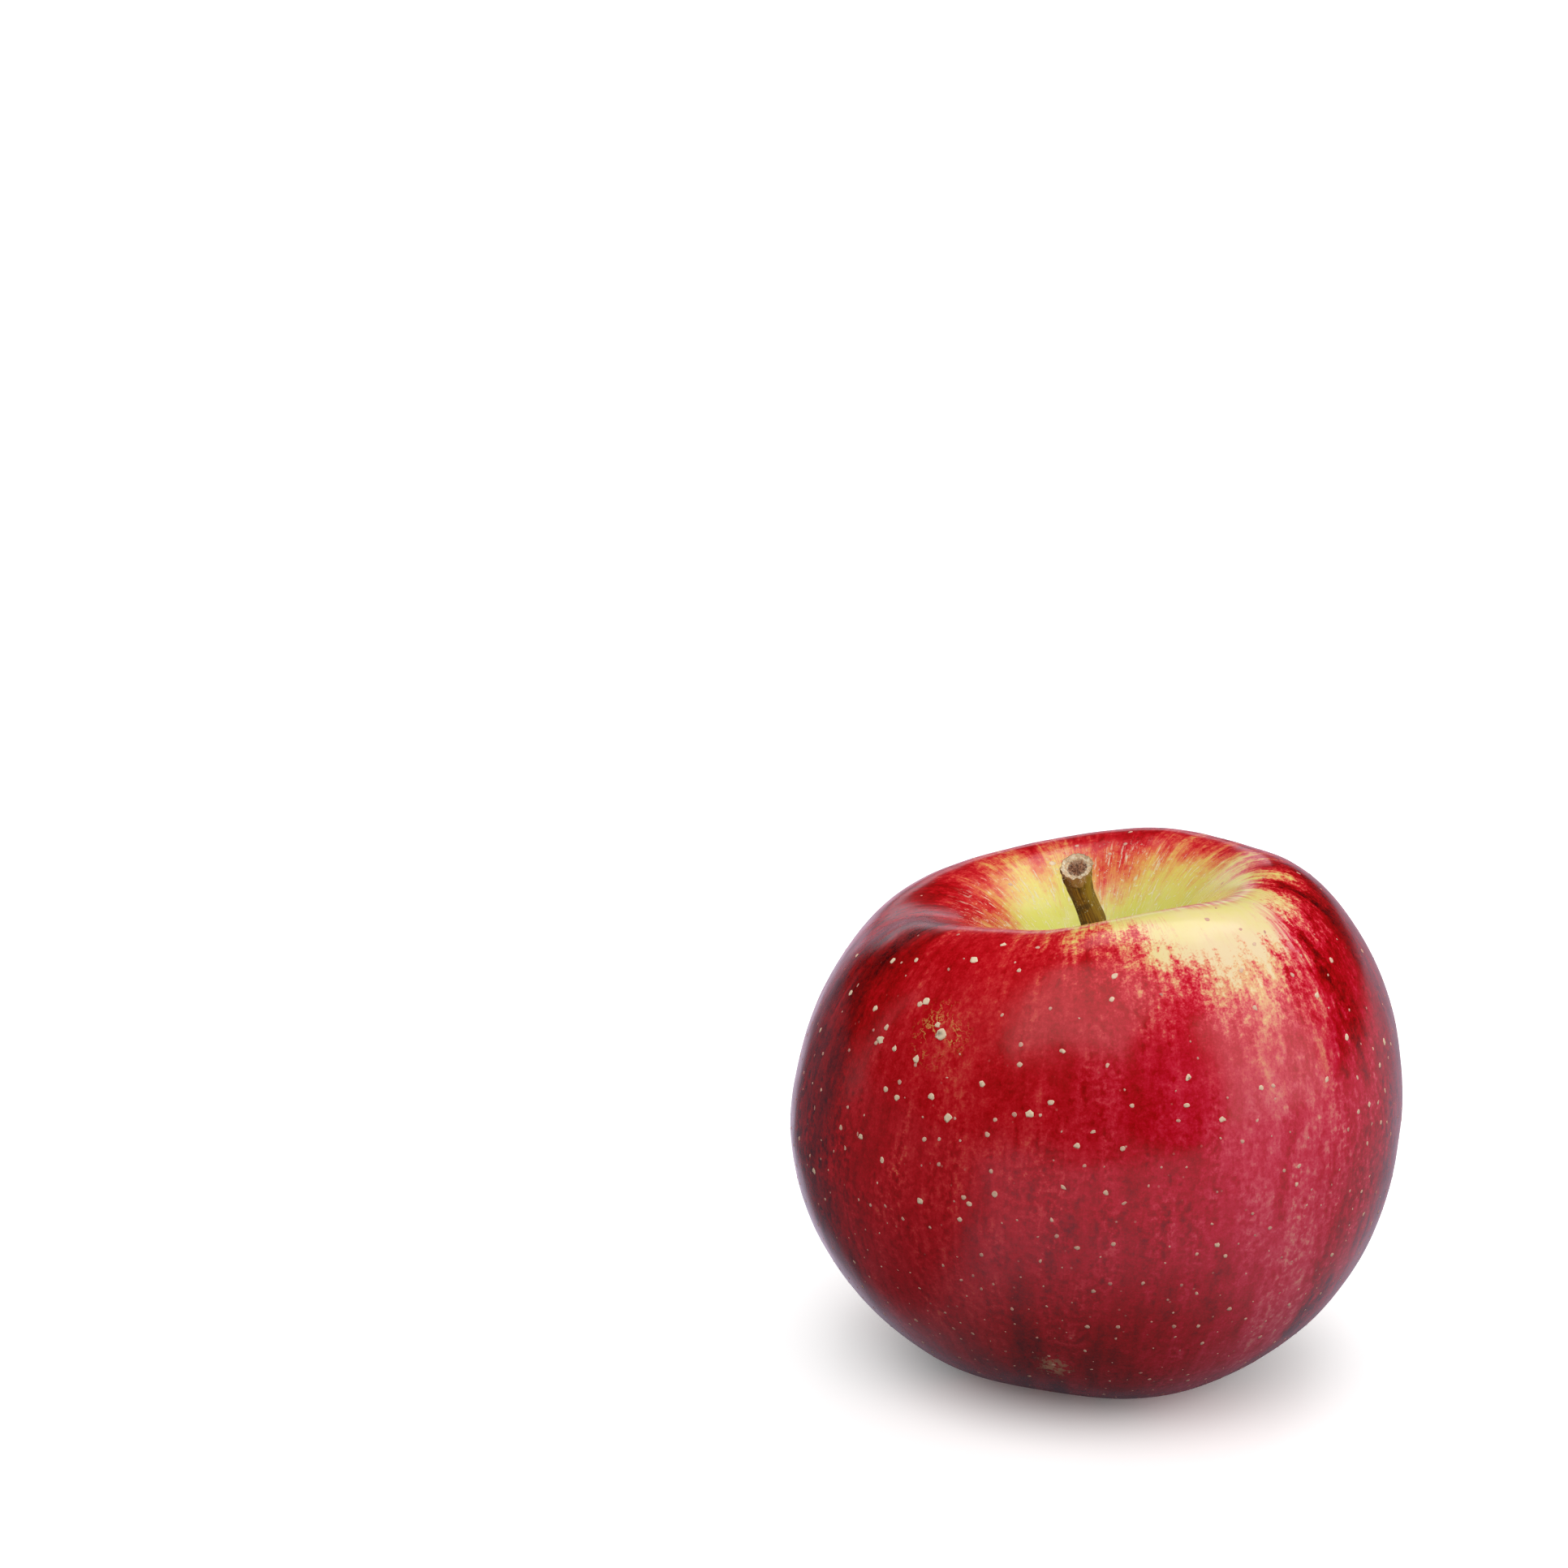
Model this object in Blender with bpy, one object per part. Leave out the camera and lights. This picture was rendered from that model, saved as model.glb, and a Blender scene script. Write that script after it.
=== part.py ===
# A whole apple, standing on its calyx end: the fruit, its woody stem, the five dried sepals
# and the tuft of dried stamens between them.
# Metres, +Z up. The origin is on the fruit's axis, in the plane that the fruit rests on.

import math

import bmesh
import bpy
from mathutils import Vector

# Fruit, turned from one profile
FRUIT_RADIUS = 0.0400
FRUIT_HEIGHT = 0.0643  # mean height of the crest round the stem cavity
EQUATOR_HEIGHT = 0.0341
CREST_RADIUS = 0.0222
UPPER_FULLNESS = 1.84  # superellipse exponents: 2 is an ellipse, more is squarer
LOWER_FULLNESS = 2.00
REST_RING_OUTER = 0.0106  # the flat ring that the fruit stands on
REST_RING_INNER = 0.0086
FRUIT_SIDES = 64
CAVITY_ROWS = 10
SIDE_ROWS = 10  # above the equator, and as many below it
BASIN_ROWS = 8

# Stem cavity
CAVITY_DEPTH = 0.0145
CAVITY_FLARE = 1.3  # how soon the wall starts to rise from the floor
CAVITY_ROLL = 2.0  # how softly it rolls over into the crest
SOCKET_RADIUS = 0.0024  # the small well that the stem grows from
SOCKET_DEPTH = 0.0020

# Calyx basin
BASIN_DEPTH = 0.0082
BASIN_FLARE = 1.6
BASIN_ROLL = 1.6
TUBE_RADIUS = 0.0021
TUBE_DEPTH = 0.0030

# How the fruit grew out of round
SHOULDER_WAVES = (  # waves round the fruit, their height, and the direction of a crest
    (1, 0.00357, math.radians(-19.0)),
    (2, 0.00070, math.radians(82.0)),
    (5, 0.00030, math.radians(-4.0)),
)
LIFT_SPREAD = 1.15  # how far down the sides the raised shoulders are felt
OVAL = 0.035  # share by which the plan is longer than round
OVAL_DIRECTION = math.radians(121.0)
AXIS_SWAY = 0.0005  # lean of the upper half to +X
LOBE_COUNT = 5
LOBE_SHARE = 0.035  # of the radius, at the calyx end
LOBE_FADE = 6.0

# Stem
STEM_FOOT_GAP = 0.0003
STEM_TIP = Vector((-0.0029, -0.0040, 0.0678))
STEM_BEND_FROM = 0.45  # share of the length below which the stem doesn't lean to -X
STEM_LEAN_POWER = 1.7  # how the lean to -Y grows up the stem
STEM_CUT_NORMAL = Vector((-0.25, -0.55, 0.80)).normalized()
STEM_SECTIONS = (  # share of the length, radius
    (0.00, 0.00185),
    (0.12, 0.00190),
    (0.28, 0.00190),
    (0.44, 0.00186),
    (0.58, 0.00180),
    (0.70, 0.00168),
    (0.80, 0.00167),
    (0.88, 0.00180),
    (0.94, 0.00202),
    (0.98, 0.00216),
    (1.00, 0.00216),
)
STEM_CUT_FROM = 0.70  # share of the length where the sections start to turn to the cut
STEM_SIDES = 16
STEM_RIM_SHARE = 0.70  # the pith's hollow in the cut end, as a share of its radius
STEM_HOLLOW_DEPTH = 0.0006
STEM_HOLLOW_TAPER = 0.9  # the hollow's floor radius over its mouth radius

# Sepals
SEPAL_COUNT = 5
SEPAL_LENGTH = 0.0056
SEPAL_WIDTH = 0.0029
SEPAL_THICKNESS = 0.0004
SEPAL_FOOT_RADIUS = 0.0031
SEPAL_FOOT_GAP = 0.0004  # below the basin's floor
SEPAL_TURN = math.radians(18.0)  # azimuth of the first sepal
SEPAL_TAPER = 0.85  # share of the width lost by the tip
SEPAL_TAPER_POWER = 1.6
SEPAL_ROWS = 8
SEPAL_COLUMNS = 4
SEPAL_LEAN = math.radians(22.0)  # inwards at the foot
SEPAL_CURL = math.radians(105.0)  # turned outwards from foot to tip
SEPAL_CUP = 0.0004

# Stamen tuft
TUFT_RADIUS = 0.0014
TUFT_LENGTH = 0.0052
TUFT_RIDGES = 10
TUFT_RIDGE_SHARE = 0.14
TUFT_ROOF_GAP = 0.0004
TUFT_SHAPE = (  # share of the radius, share of the length down
    (0.00, 0.00),
    (0.75, 0.00),
    (0.95, 0.12),
    (1.00, 0.35),
    (0.85, 0.60),
    (0.70, 0.80),
    (0.60, 0.96),
    (0.00, 1.00),
)

# Meshing
SHARP_ANGLE = math.radians(50.0)  # edges that turn more than this are shaded sharp
MERGE_DISTANCE = 1e-6


def clear_scene():
    for old in list(bpy.data.objects):
        bpy.data.objects.remove(old, do_unlink=True)


def smooth_step(share):
    share = min(max(share, 0.0), 1.0)
    return share * share * (3.0 - 2.0 * share)


def make_material(name, color, roughness):
    material = bpy.data.materials.new(name)
    material.use_nodes = True
    shader = material.node_tree.nodes["Principled BSDF"]
    shader.inputs["Base Color"].default_value = (*color, 1.0)
    shader.inputs["Roughness"].default_value = roughness
    shader.inputs["Metallic"].default_value = 0.0
    return material


def finish_object(name, bm, material):
    bmesh.ops.recalc_face_normals(bm, faces=bm.faces)
    mesh = bpy.data.meshes.new(name)
    bm.to_mesh(mesh)
    bm.free()
    mesh.materials.append(material)
    mesh.shade_smooth()
    mesh.set_sharp_from_angle(angle=SHARP_ANGLE)
    obj = bpy.data.objects.new(name, mesh)
    bpy.context.scene.collection.objects.link(obj)
    return obj


def spin_profile(bm, profile, sides):
    """Turns (radius, height) points that start and end on the Z axis into a closed skin."""
    verts = [bm.verts.new((radius, 0.0, height)) for radius, height in profile]
    edges = [bm.edges.new(pair) for pair in zip(verts, verts[1:])]
    bmesh.ops.spin(
        bm,
        geom=verts + edges,
        cent=(0.0, 0.0, 0.0),
        axis=(0.0, 0.0, 1.0),
        angle=math.tau,
        steps=sides,
        use_merge=True,
    )
    bmesh.ops.remove_doubles(bm, verts=bm.verts, dist=MERGE_DISTANCE)


def cavity_profile():
    """From the stem socket's middle out to the crest."""
    cavity_floor = FRUIT_HEIGHT - CAVITY_DEPTH
    points = [(0.0, cavity_floor - SOCKET_DEPTH), (SOCKET_RADIUS, cavity_floor - SOCKET_DEPTH)]
    for row in range(CAVITY_ROWS + 1):
        out = row / CAVITY_ROWS
        radius = SOCKET_RADIUS + (CREST_RADIUS - SOCKET_RADIUS) * out
        drop = CAVITY_DEPTH * (1.0 - out**CAVITY_FLARE) ** CAVITY_ROLL
        points.append((radius, FRUIT_HEIGHT - drop))
    return points


def side_profile():
    """From just past the crest, over the equator, down to the rest ring."""
    points = []
    for row in range(1, SIDE_ROWS + 1):
        angle = math.pi / 2 * (1.0 - row / SIDE_ROWS)
        out = math.cos(angle) ** (2.0 / UPPER_FULLNESS)
        up = math.sin(angle) ** (2.0 / UPPER_FULLNESS)
        radius = CREST_RADIUS + (FRUIT_RADIUS - CREST_RADIUS) * out
        points.append((radius, EQUATOR_HEIGHT + (FRUIT_HEIGHT - EQUATOR_HEIGHT) * up))
    for row in range(1, SIDE_ROWS + 1):
        angle = math.pi / 2 * row / SIDE_ROWS
        out = max(math.cos(angle), 0.0) ** (2.0 / LOWER_FULLNESS)
        down = math.sin(angle) ** (2.0 / LOWER_FULLNESS)
        radius = REST_RING_OUTER + (FRUIT_RADIUS - REST_RING_OUTER) * out
        points.append((radius, EQUATOR_HEIGHT * (1.0 - down)))
    return points


def basin_height(radius):
    out = min(max((radius - TUBE_RADIUS) / (REST_RING_INNER - TUBE_RADIUS), 0.0), 1.0)
    return BASIN_DEPTH * (1.0 - out**BASIN_FLARE) ** BASIN_ROLL


def basin_profile():
    """From the rest ring's inner edge up to the calyx tube's middle."""
    points = []
    for row in range(BASIN_ROWS + 1):
        radius = REST_RING_INNER + (TUBE_RADIUS - REST_RING_INNER) * row / BASIN_ROWS
        points.append((radius, basin_height(radius)))
    points.append((TUBE_RADIUS, BASIN_DEPTH + TUBE_DEPTH))
    points.append((0.0, BASIN_DEPTH + TUBE_DEPTH))
    return points


def shoulder_lift(azimuth):
    return sum(
        height * math.cos(waves * (azimuth - crest)) for waves, height, crest in SHOULDER_WAVES
    )


def grow(point):
    """Moves a point of the round fruit to where the real, uneven fruit has it."""
    radius = math.hypot(point.x, point.y)
    if radius < MERGE_DISTANCE:
        return point
    azimuth = math.atan2(point.y, point.x)
    share = min(max(point.z / FRUIT_HEIGHT, 0.0), 1.0)
    in_cavity = point.z > EQUATOR_HEIGHT and radius < CREST_RADIUS
    in_basin = point.z < EQUATOR_HEIGHT and radius < REST_RING_OUTER
    if in_cavity:
        felt = smooth_step((radius - SOCKET_RADIUS) / (CREST_RADIUS - SOCKET_RADIUS))
        sway = 0.0
    elif in_basin:
        felt = 0.0
        sway = 0.0
    else:
        felt = 1.0 - (1.0 - share) ** LIFT_SPREAD
        sway = AXIS_SWAY * max(-math.sin(math.tau * share), 0.0)
    scale = 1.0 + OVAL * math.cos(2.0 * (azimuth - OVAL_DIRECTION))
    scale += LOBE_SHARE * (1.0 - share) ** LOBE_FADE * math.cos(LOBE_COUNT * azimuth)
    return Vector(
        (
            point.x * scale + sway,
            point.y * scale,
            point.z + felt * shoulder_lift(azimuth),
        )
    )


def make_fruit(material):
    bm = bmesh.new()
    spin_profile(bm, cavity_profile() + side_profile() + basin_profile(), FRUIT_SIDES)
    for vert in bm.verts:
        vert.co = grow(vert.co)
    return finish_object("fruit", bm, material)


def stem_point(share):
    foot = FRUIT_HEIGHT - CAVITY_DEPTH - SOCKET_DEPTH + STEM_FOOT_GAP
    return Vector(
        (
            STEM_TIP.x * smooth_step((share - STEM_BEND_FROM) / (1.0 - STEM_BEND_FROM)),
            STEM_TIP.y * share**STEM_LEAN_POWER,
            foot + (STEM_TIP.z - foot) * share,
        )
    )


def stem_normal(share):
    """Which way a section faces: along the stem, turning to the cut near the end."""
    step = 0.01
    along = stem_point(min(share + step, 1.0)) - stem_point(max(share - step, 0.0))
    turn = max(share - STEM_CUT_FROM, 0.0) / (1.0 - STEM_CUT_FROM)
    return along.normalized().lerp(STEM_CUT_NORMAL, turn).normalized()


def add_ring(bm, centre, normal, radius, sides):
    across = Vector((1.0, 0.0, 0.0))
    side = (across - normal * across.dot(normal)).normalized()
    front = normal.cross(side)
    ring = []
    for step in range(sides):
        angle = math.tau * step / sides
        ring.append(bm.verts.new(centre + radius * (side * math.cos(angle) + front * math.sin(angle))))
    return ring


def bridge(bm, lower, upper):
    count = len(lower)
    for step in range(count):
        after = (step + 1) % count
        bm.faces.new((lower[step], lower[after], upper[after], upper[step]))


def make_stem(material):
    bm = bmesh.new()
    rings = [
        add_ring(bm, stem_point(share), stem_normal(share), radius, STEM_SIDES)
        for share, radius in STEM_SECTIONS
    ]
    tip_radius = STEM_SECTIONS[-1][1]
    hollow_radius = tip_radius * STEM_RIM_SHARE
    hollow_floor = stem_point(1.0) - STEM_CUT_NORMAL * STEM_HOLLOW_DEPTH
    rings.append(add_ring(bm, stem_point(1.0), STEM_CUT_NORMAL, hollow_radius, STEM_SIDES))
    floor_radius = hollow_radius * STEM_HOLLOW_TAPER
    rings.append(add_ring(bm, hollow_floor, STEM_CUT_NORMAL, floor_radius, STEM_SIDES))
    for lower, upper in zip(rings, rings[1:]):
        bridge(bm, lower, upper)
    bm.faces.new(reversed(rings[0]))
    bm.faces.new(rings[-1])
    return finish_object("stem", bm, material)


def sepal_spine():
    """The sepal's middle line as (radius, height) points, curling outwards towards its tip."""
    step = SEPAL_LENGTH / SEPAL_ROWS
    radius = SEPAL_FOOT_RADIUS
    height = basin_height(SEPAL_FOOT_RADIUS + SEPAL_THICKNESS) - SEPAL_FOOT_GAP
    spine = [(radius, height)]
    for row in range(SEPAL_ROWS):
        lean = SEPAL_LEAN - SEPAL_CURL * (row / SEPAL_ROWS) ** 2
        radius -= step * math.sin(lean)
        height -= step * math.cos(lean)
        spine.append((radius, height))
    return spine


def make_sepal(number, material):
    azimuth = math.tau * (number - 1) / SEPAL_COUNT + SEPAL_TURN
    outward = Vector((math.cos(azimuth), math.sin(azimuth), 0.0))
    sideways = Vector((-math.sin(azimuth), math.cos(azimuth), 0.0))
    bm = bmesh.new()
    rows = []
    for row, (radius, height) in enumerate(sepal_spine()):
        along = row / SEPAL_ROWS
        half_width = SEPAL_WIDTH / 2 * (1.0 - SEPAL_TAPER * along**SEPAL_TAPER_POWER)
        points = []
        for column in range(SEPAL_COLUMNS + 1):
            across = 2.0 * column / SEPAL_COLUMNS - 1.0
            cup = SEPAL_CUP * across * across * (1.0 - along)
            place = outward * (radius - cup) + sideways * (half_width * across)
            points.append(bm.verts.new(place + Vector((0.0, 0.0, height))))
        rows.append(points)
    for near, far in zip(rows, rows[1:]):
        for column in range(SEPAL_COLUMNS):
            bm.faces.new((near[column], near[column + 1], far[column + 1], far[column]))
    obj = finish_object(f"sepal_{number}", bm, material)
    solidify = obj.modifiers.new("leaf thickness", "SOLIDIFY")
    solidify.thickness = SEPAL_THICKNESS
    solidify.offset = 0.0
    return obj


def make_stamen_tuft(material):
    """A ridged, tapering bundle that hangs in the mouth of the calyx tube."""
    roof = BASIN_DEPTH + TUBE_DEPTH - TUFT_ROOF_GAP
    profile = [(TUFT_RADIUS * out, roof - TUFT_LENGTH * down) for out, down in TUFT_SHAPE]
    bm = bmesh.new()
    spin_profile(bm, profile, 2 * TUFT_RIDGES)
    for vert in bm.verts:
        azimuth = math.atan2(vert.co.y, vert.co.x)
        scale = 1.0 - TUFT_RIDGE_SHARE / 2 * (1.0 - math.cos(TUFT_RIDGES * azimuth))
        vert.co.x *= scale
        vert.co.y *= scale
    return finish_object("stamen_tuft", bm, material)


def main():
    clear_scene()
    make_fruit(make_material("skin", (0.36, 0.010, 0.018), 0.25))
    make_stem(make_material("stem_wood", (0.16, 0.085, 0.025), 0.75))
    sepal_leaf = make_material("dried_sepal", (0.12, 0.075, 0.035), 0.9)
    for number in range(1, SEPAL_COUNT + 1):
        make_sepal(number, sepal_leaf)
    make_stamen_tuft(make_material("dried_stamen", (0.05, 0.025, 0.012), 0.9))


main()
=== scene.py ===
import math

import bpy
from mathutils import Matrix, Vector, noise


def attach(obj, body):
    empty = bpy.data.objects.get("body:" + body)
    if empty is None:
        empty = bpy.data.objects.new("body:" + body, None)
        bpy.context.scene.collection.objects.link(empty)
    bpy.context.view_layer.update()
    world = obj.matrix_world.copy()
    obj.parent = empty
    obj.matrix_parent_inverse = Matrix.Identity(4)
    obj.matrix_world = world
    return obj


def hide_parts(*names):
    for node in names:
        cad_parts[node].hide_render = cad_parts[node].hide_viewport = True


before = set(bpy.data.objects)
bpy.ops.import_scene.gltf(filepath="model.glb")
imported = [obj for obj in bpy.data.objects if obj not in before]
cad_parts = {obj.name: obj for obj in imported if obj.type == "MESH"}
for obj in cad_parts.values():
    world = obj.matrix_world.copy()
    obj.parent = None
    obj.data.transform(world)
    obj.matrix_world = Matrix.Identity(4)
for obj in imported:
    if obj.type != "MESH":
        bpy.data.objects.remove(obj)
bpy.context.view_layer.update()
mm = 0.001


# Helpers for building node trees

def plug(tree, socket, value):
    if isinstance(value, bpy.types.NodeSocket):
        tree.links.new(value, socket)
    else:
        socket.default_value = value


def addNode(tree, kind, plugs=None, **settings):
    made = tree.nodes.new(kind)
    for name, value in settings.items():
        setattr(made, name, value)
    for key, value in (plugs or {}).items():
        plug(tree, made.inputs[key], value)
    return made


def calc(tree, operation, *values):
    made = addNode(tree, "ShaderNodeMath", operation=operation)
    for socket, value in zip(made.inputs, values):
        plug(tree, socket, value)
    return made.outputs[0]


def plus(tree, value, *others):
    for other in others:
        value = calc(tree, "ADD", value, other)
    return value


def times(tree, value, *others):
    for other in others:
        value = calc(tree, "MULTIPLY", value, other)
    return value


def calcVector(tree, operation, *values):
    made = addNode(tree, "ShaderNodeVectorMath", operation=operation)
    for socket, value in zip(made.inputs, values):
        plug(tree, socket, value)
    oneNumber = operation in ("DOT_PRODUCT", "LENGTH", "DISTANCE")
    return made.outputs[1 if oneNumber else 0]


def stretch(tree, vector, factors):
    return calcVector(tree, "MULTIPLY", vector, factors)


def vectorOf(tree, x=0.0, y=0.0, z=0.0):
    return addNode(tree, "ShaderNodeCombineXYZ", {0: x, 1: y, 2: z}).outputs[0]


def partsOf(tree, vector):
    return addNode(tree, "ShaderNodeSeparateXYZ", {0: vector}).outputs


def rise(tree, value, low, high, bottom=0.0, top=1.0):
    # bottom at low, top at high, with a soft start and end
    plugs = {"Value": value, "From Min": low, "From Max": high, "To Min": bottom, "To Max": top}
    made = addNode(tree, "ShaderNodeMapRange", plugs, interpolation_type="SMOOTHSTEP")
    return made.outputs[0]


def grain(tree, vector, scale, detail=2.0, roughness=0.5):
    plugs = {"Vector": vector, "Scale": scale, "Detail": detail, "Roughness": roughness}
    return addNode(tree, "ShaderNodeTexNoise", plugs).outputs[0]


def swing(tree, value, amount):
    # turns a noise around 0.5 into one that swings by the amount either way
    plugs = {"Value": value, "From Min": 0.25, "From Max": 0.75, "To Min": -amount, "To Max": amount}
    return addNode(tree, "ShaderNodeMapRange", plugs, clamp=False).outputs[0]


def vary(tree, value, pattern, amount, where=1.0):
    # the noise makes the value larger and smaller by that share, where the mask is 1
    return times(tree, value, plus(tree, times(tree, swing(tree, pattern, amount), where), 1.0))


def mixColor(tree, factor, first, second, blend="MIX"):
    made = addNode(tree, "ShaderNodeMix", data_type="RGBA", blend_type=blend, clamp_factor=True)
    for number, value in ((0, factor), (6, first), (7, second)):
        if isinstance(value, tuple):
            value = (*value, 1.0)
        plug(tree, made.inputs[number], value)
    return made.outputs[2]


def readAttribute(tree, name):
    return addNode(tree, "ShaderNodeAttribute", attribute_name=name)


def objectPlace(tree):
    return addNode(tree, "ShaderNodeTexCoord").outputs["Object"]


def newMaterial(name):
    material = bpy.data.materials.new(name)
    material.use_nodes = True
    tree = material.node_tree
    return material, tree, tree.nodes["Principled BSDF"]


def finish(tree, shader, color, roughness, relief, depth, strength):
    plug(tree, shader.inputs["Base Color"], color)
    plug(tree, shader.inputs["Roughness"], roughness)
    bump = addNode(tree, "ShaderNodeBump", {"Height": relief, "Distance": depth, "Strength": strength})
    plug(tree, shader.inputs["Normal"], bump.outputs["Normal"])


def newTree(name, inputs):
    tree = bpy.data.node_groups.new(name, "GeometryNodeTree")
    tree.interface.new_socket("Geometry", in_out="INPUT", socket_type="NodeSocketGeometry")
    for label, kind in inputs:
        tree.interface.new_socket(label, in_out="INPUT", socket_type="NodeSocket" + kind)
    tree.interface.new_socket("Geometry", in_out="OUTPUT", socket_type="NodeSocketGeometry")
    return tree, addNode(tree, "NodeGroupInput").outputs


def endTree(tree, geometry, material):
    whole = addNode(tree, "GeometryNodeRealizeInstances", {"Geometry": geometry})
    smooth = addNode(tree, "GeometryNodeSetShadeSmooth", {"Geometry": whole.outputs[0]})
    painted = addNode(
        tree, "GeometryNodeSetMaterial", {"Geometry": smooth.outputs[0], "Material": material}
    )
    addNode(tree, "NodeGroupOutput", {"Geometry": painted.outputs[0]})


def stored(tree, name, kind="FLOAT"):
    return addNode(tree, "GeometryNodeInputNamedAttribute", {"Name": name}, data_type=kind).outputs[0]


def herePlace(tree):
    return addNode(tree, "GeometryNodeInputPosition").outputs[0]


def nearestNormal(tree, surface):
    sampled = addNode(tree, "GeometryNodeSampleNearestSurface", {0: surface}, data_type="FLOAT_VECTOR")
    plug(tree, sampled.inputs["Value"], addNode(tree, "GeometryNodeInputNormal").outputs[0])
    return sampled.outputs[0]


def chance(tree, low, high, seed):
    plugs = {2: low, 3: high, "Seed": seed}
    return addNode(tree, "FunctionNodeRandomValue", plugs, data_type="FLOAT").outputs[1]


def chanceVector(tree, low, high, seed):
    plugs = {0: low, 1: high, "Seed": seed}
    return addNode(tree, "FunctionNodeRandomValue", plugs, data_type="FLOAT_VECTOR").outputs[0]


def addObject(name, data):
    obj = bpy.data.objects.new(name, data)
    bpy.context.scene.collection.objects.link(obj)
    return obj


def plainMesh(obj, name):
    depsgraph = bpy.context.evaluated_depsgraph_get()
    mesh = bpy.data.meshes.new_from_object(
        obj.evaluated_get(depsgraph), preserve_all_data_layers=True, depsgraph=depsgraph
    )
    mesh.name = name
    return mesh


def grow(name, data, tree, values):
    # runs the tree on the data once, and keeps the result as a plain mesh
    obj = addObject(name, data)
    modifier = obj.modifiers.new(name, "NODES")
    modifier.node_group = tree
    for item in tree.interface.items_tree:
        if item.in_out == "INPUT" and item.name in values:
            modifier[item.identifier] = values[item.name]
    mesh = plainMesh(obj, name)
    bpy.data.objects.remove(obj)
    return addObject(name, mesh)


def carry(piece, slot, *nodes):
    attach(piece, "root")
    if nodes:
        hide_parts(*nodes)


def smoothStep(share):
    share = min(max(share, 0.0), 1.0)
    return share * share * (3.0 - 2.0 * share)


def aroundAt(angle):
    return Vector((math.cos(angle), math.sin(angle), 0.0))


# Camera, light and floor

studio = {
    "cameraPlace": (-0.03996, -0.44633, 0.20389),
    "cameraDip": 15.835,  # degrees below the horizon
    "lens": 83.85,
    "sensor": 36.0,
    "clipStart": 0.01,
    "fillAbove": 0.34,  # soft light from all round
    "fillLevel": 0.30,
    "fillBelow": 0.035,
    "glossAbove": (0.020, 0.018, 0.020),  # what the gloss mirrors where there is no lamp
    "glossFloor": (1.05, 0.92, 1.16),
    "glossBelow": (0.34, 0.31, 0.35),
    "left": (-0.95, 0.30, 0.0),
    "right": (0.80, 0.60, 0.0),
    "glossLeft": 0.14,  # share of the floor's gloss that is left towards the left
    "glossRight": 0.50,  # and towards the right
    "floorColor": (0.90, 0.90, 0.905),
    "floorRadius": 8.0,
    "floorSides": 96,
    "floorGlow": 0.62,  # keeps the floor white away from the shadow
    "horizonGlow": 0.45,
    "paperRoughness": 0.9,
    "shadeColor": (0.03, 0.028, 0.03),
    "shadeRadius": 0.055,
    "shadeSides": 48,
    "shadeDrop": 0.0003,
}

# name, middle, what it faces, width, height, watts, color
lights = (
    ("frontBank", (-0.38, -0.62, 1.00), (0.0, 0.0, 0.04), 1.15, 1.00, 5.2, (1.0, 0.97, 0.96)),
    ("rightWall", (0.76, -0.42, 0.40), (0.0, 0.0, 0.04), 0.85, 0.74, 3.5, (1.0, 0.98, 0.96)),
    ("topBank", (0.12, 0.36, 1.10), (0.0, 0.0, 0.04), 0.90, 0.60, 4.0, (0.98, 0.99, 1.0)),
    ("backStrip", (-0.18, 1.28, 0.27), (0.0, 0.0, 0.05), 0.80, 0.22, 0.52, (0.88, 0.88, 1.0)),
    ("leftStrip", (-1.05, 0.42, 0.30), (0.0, 0.0, 0.04), 0.10, 0.70, 0.10, (0.90, 0.93, 1.0)),
)


def makeCamera():
    data = bpy.data.cameras.new("camera")
    data.lens = studio["lens"]
    data.sensor_width = studio["sensor"]
    data.clip_start = studio["clipStart"]
    camera = addObject("camera", data)
    camera.location = studio["cameraPlace"]
    camera.rotation_euler = (math.radians(90.0 - studio["cameraDip"]), 0.0, 0.0)
    bpy.context.scene.camera = camera


def makeLights():
    for name, place, aim, width, height, watts, color in lights:
        data = bpy.data.lights.new(name, "AREA")
        data.shape = "RECTANGLE"
        data.size = width
        data.size_y = height
        data.energy = watts
        data.color = color
        lamp = addObject(name, data)
        lamp.location = place
        lamp.rotation_euler = (Vector(aim) - Vector(place)).to_track_quat("-Z", "Y").to_euler()
        lamp.visible_camera = False


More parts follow.
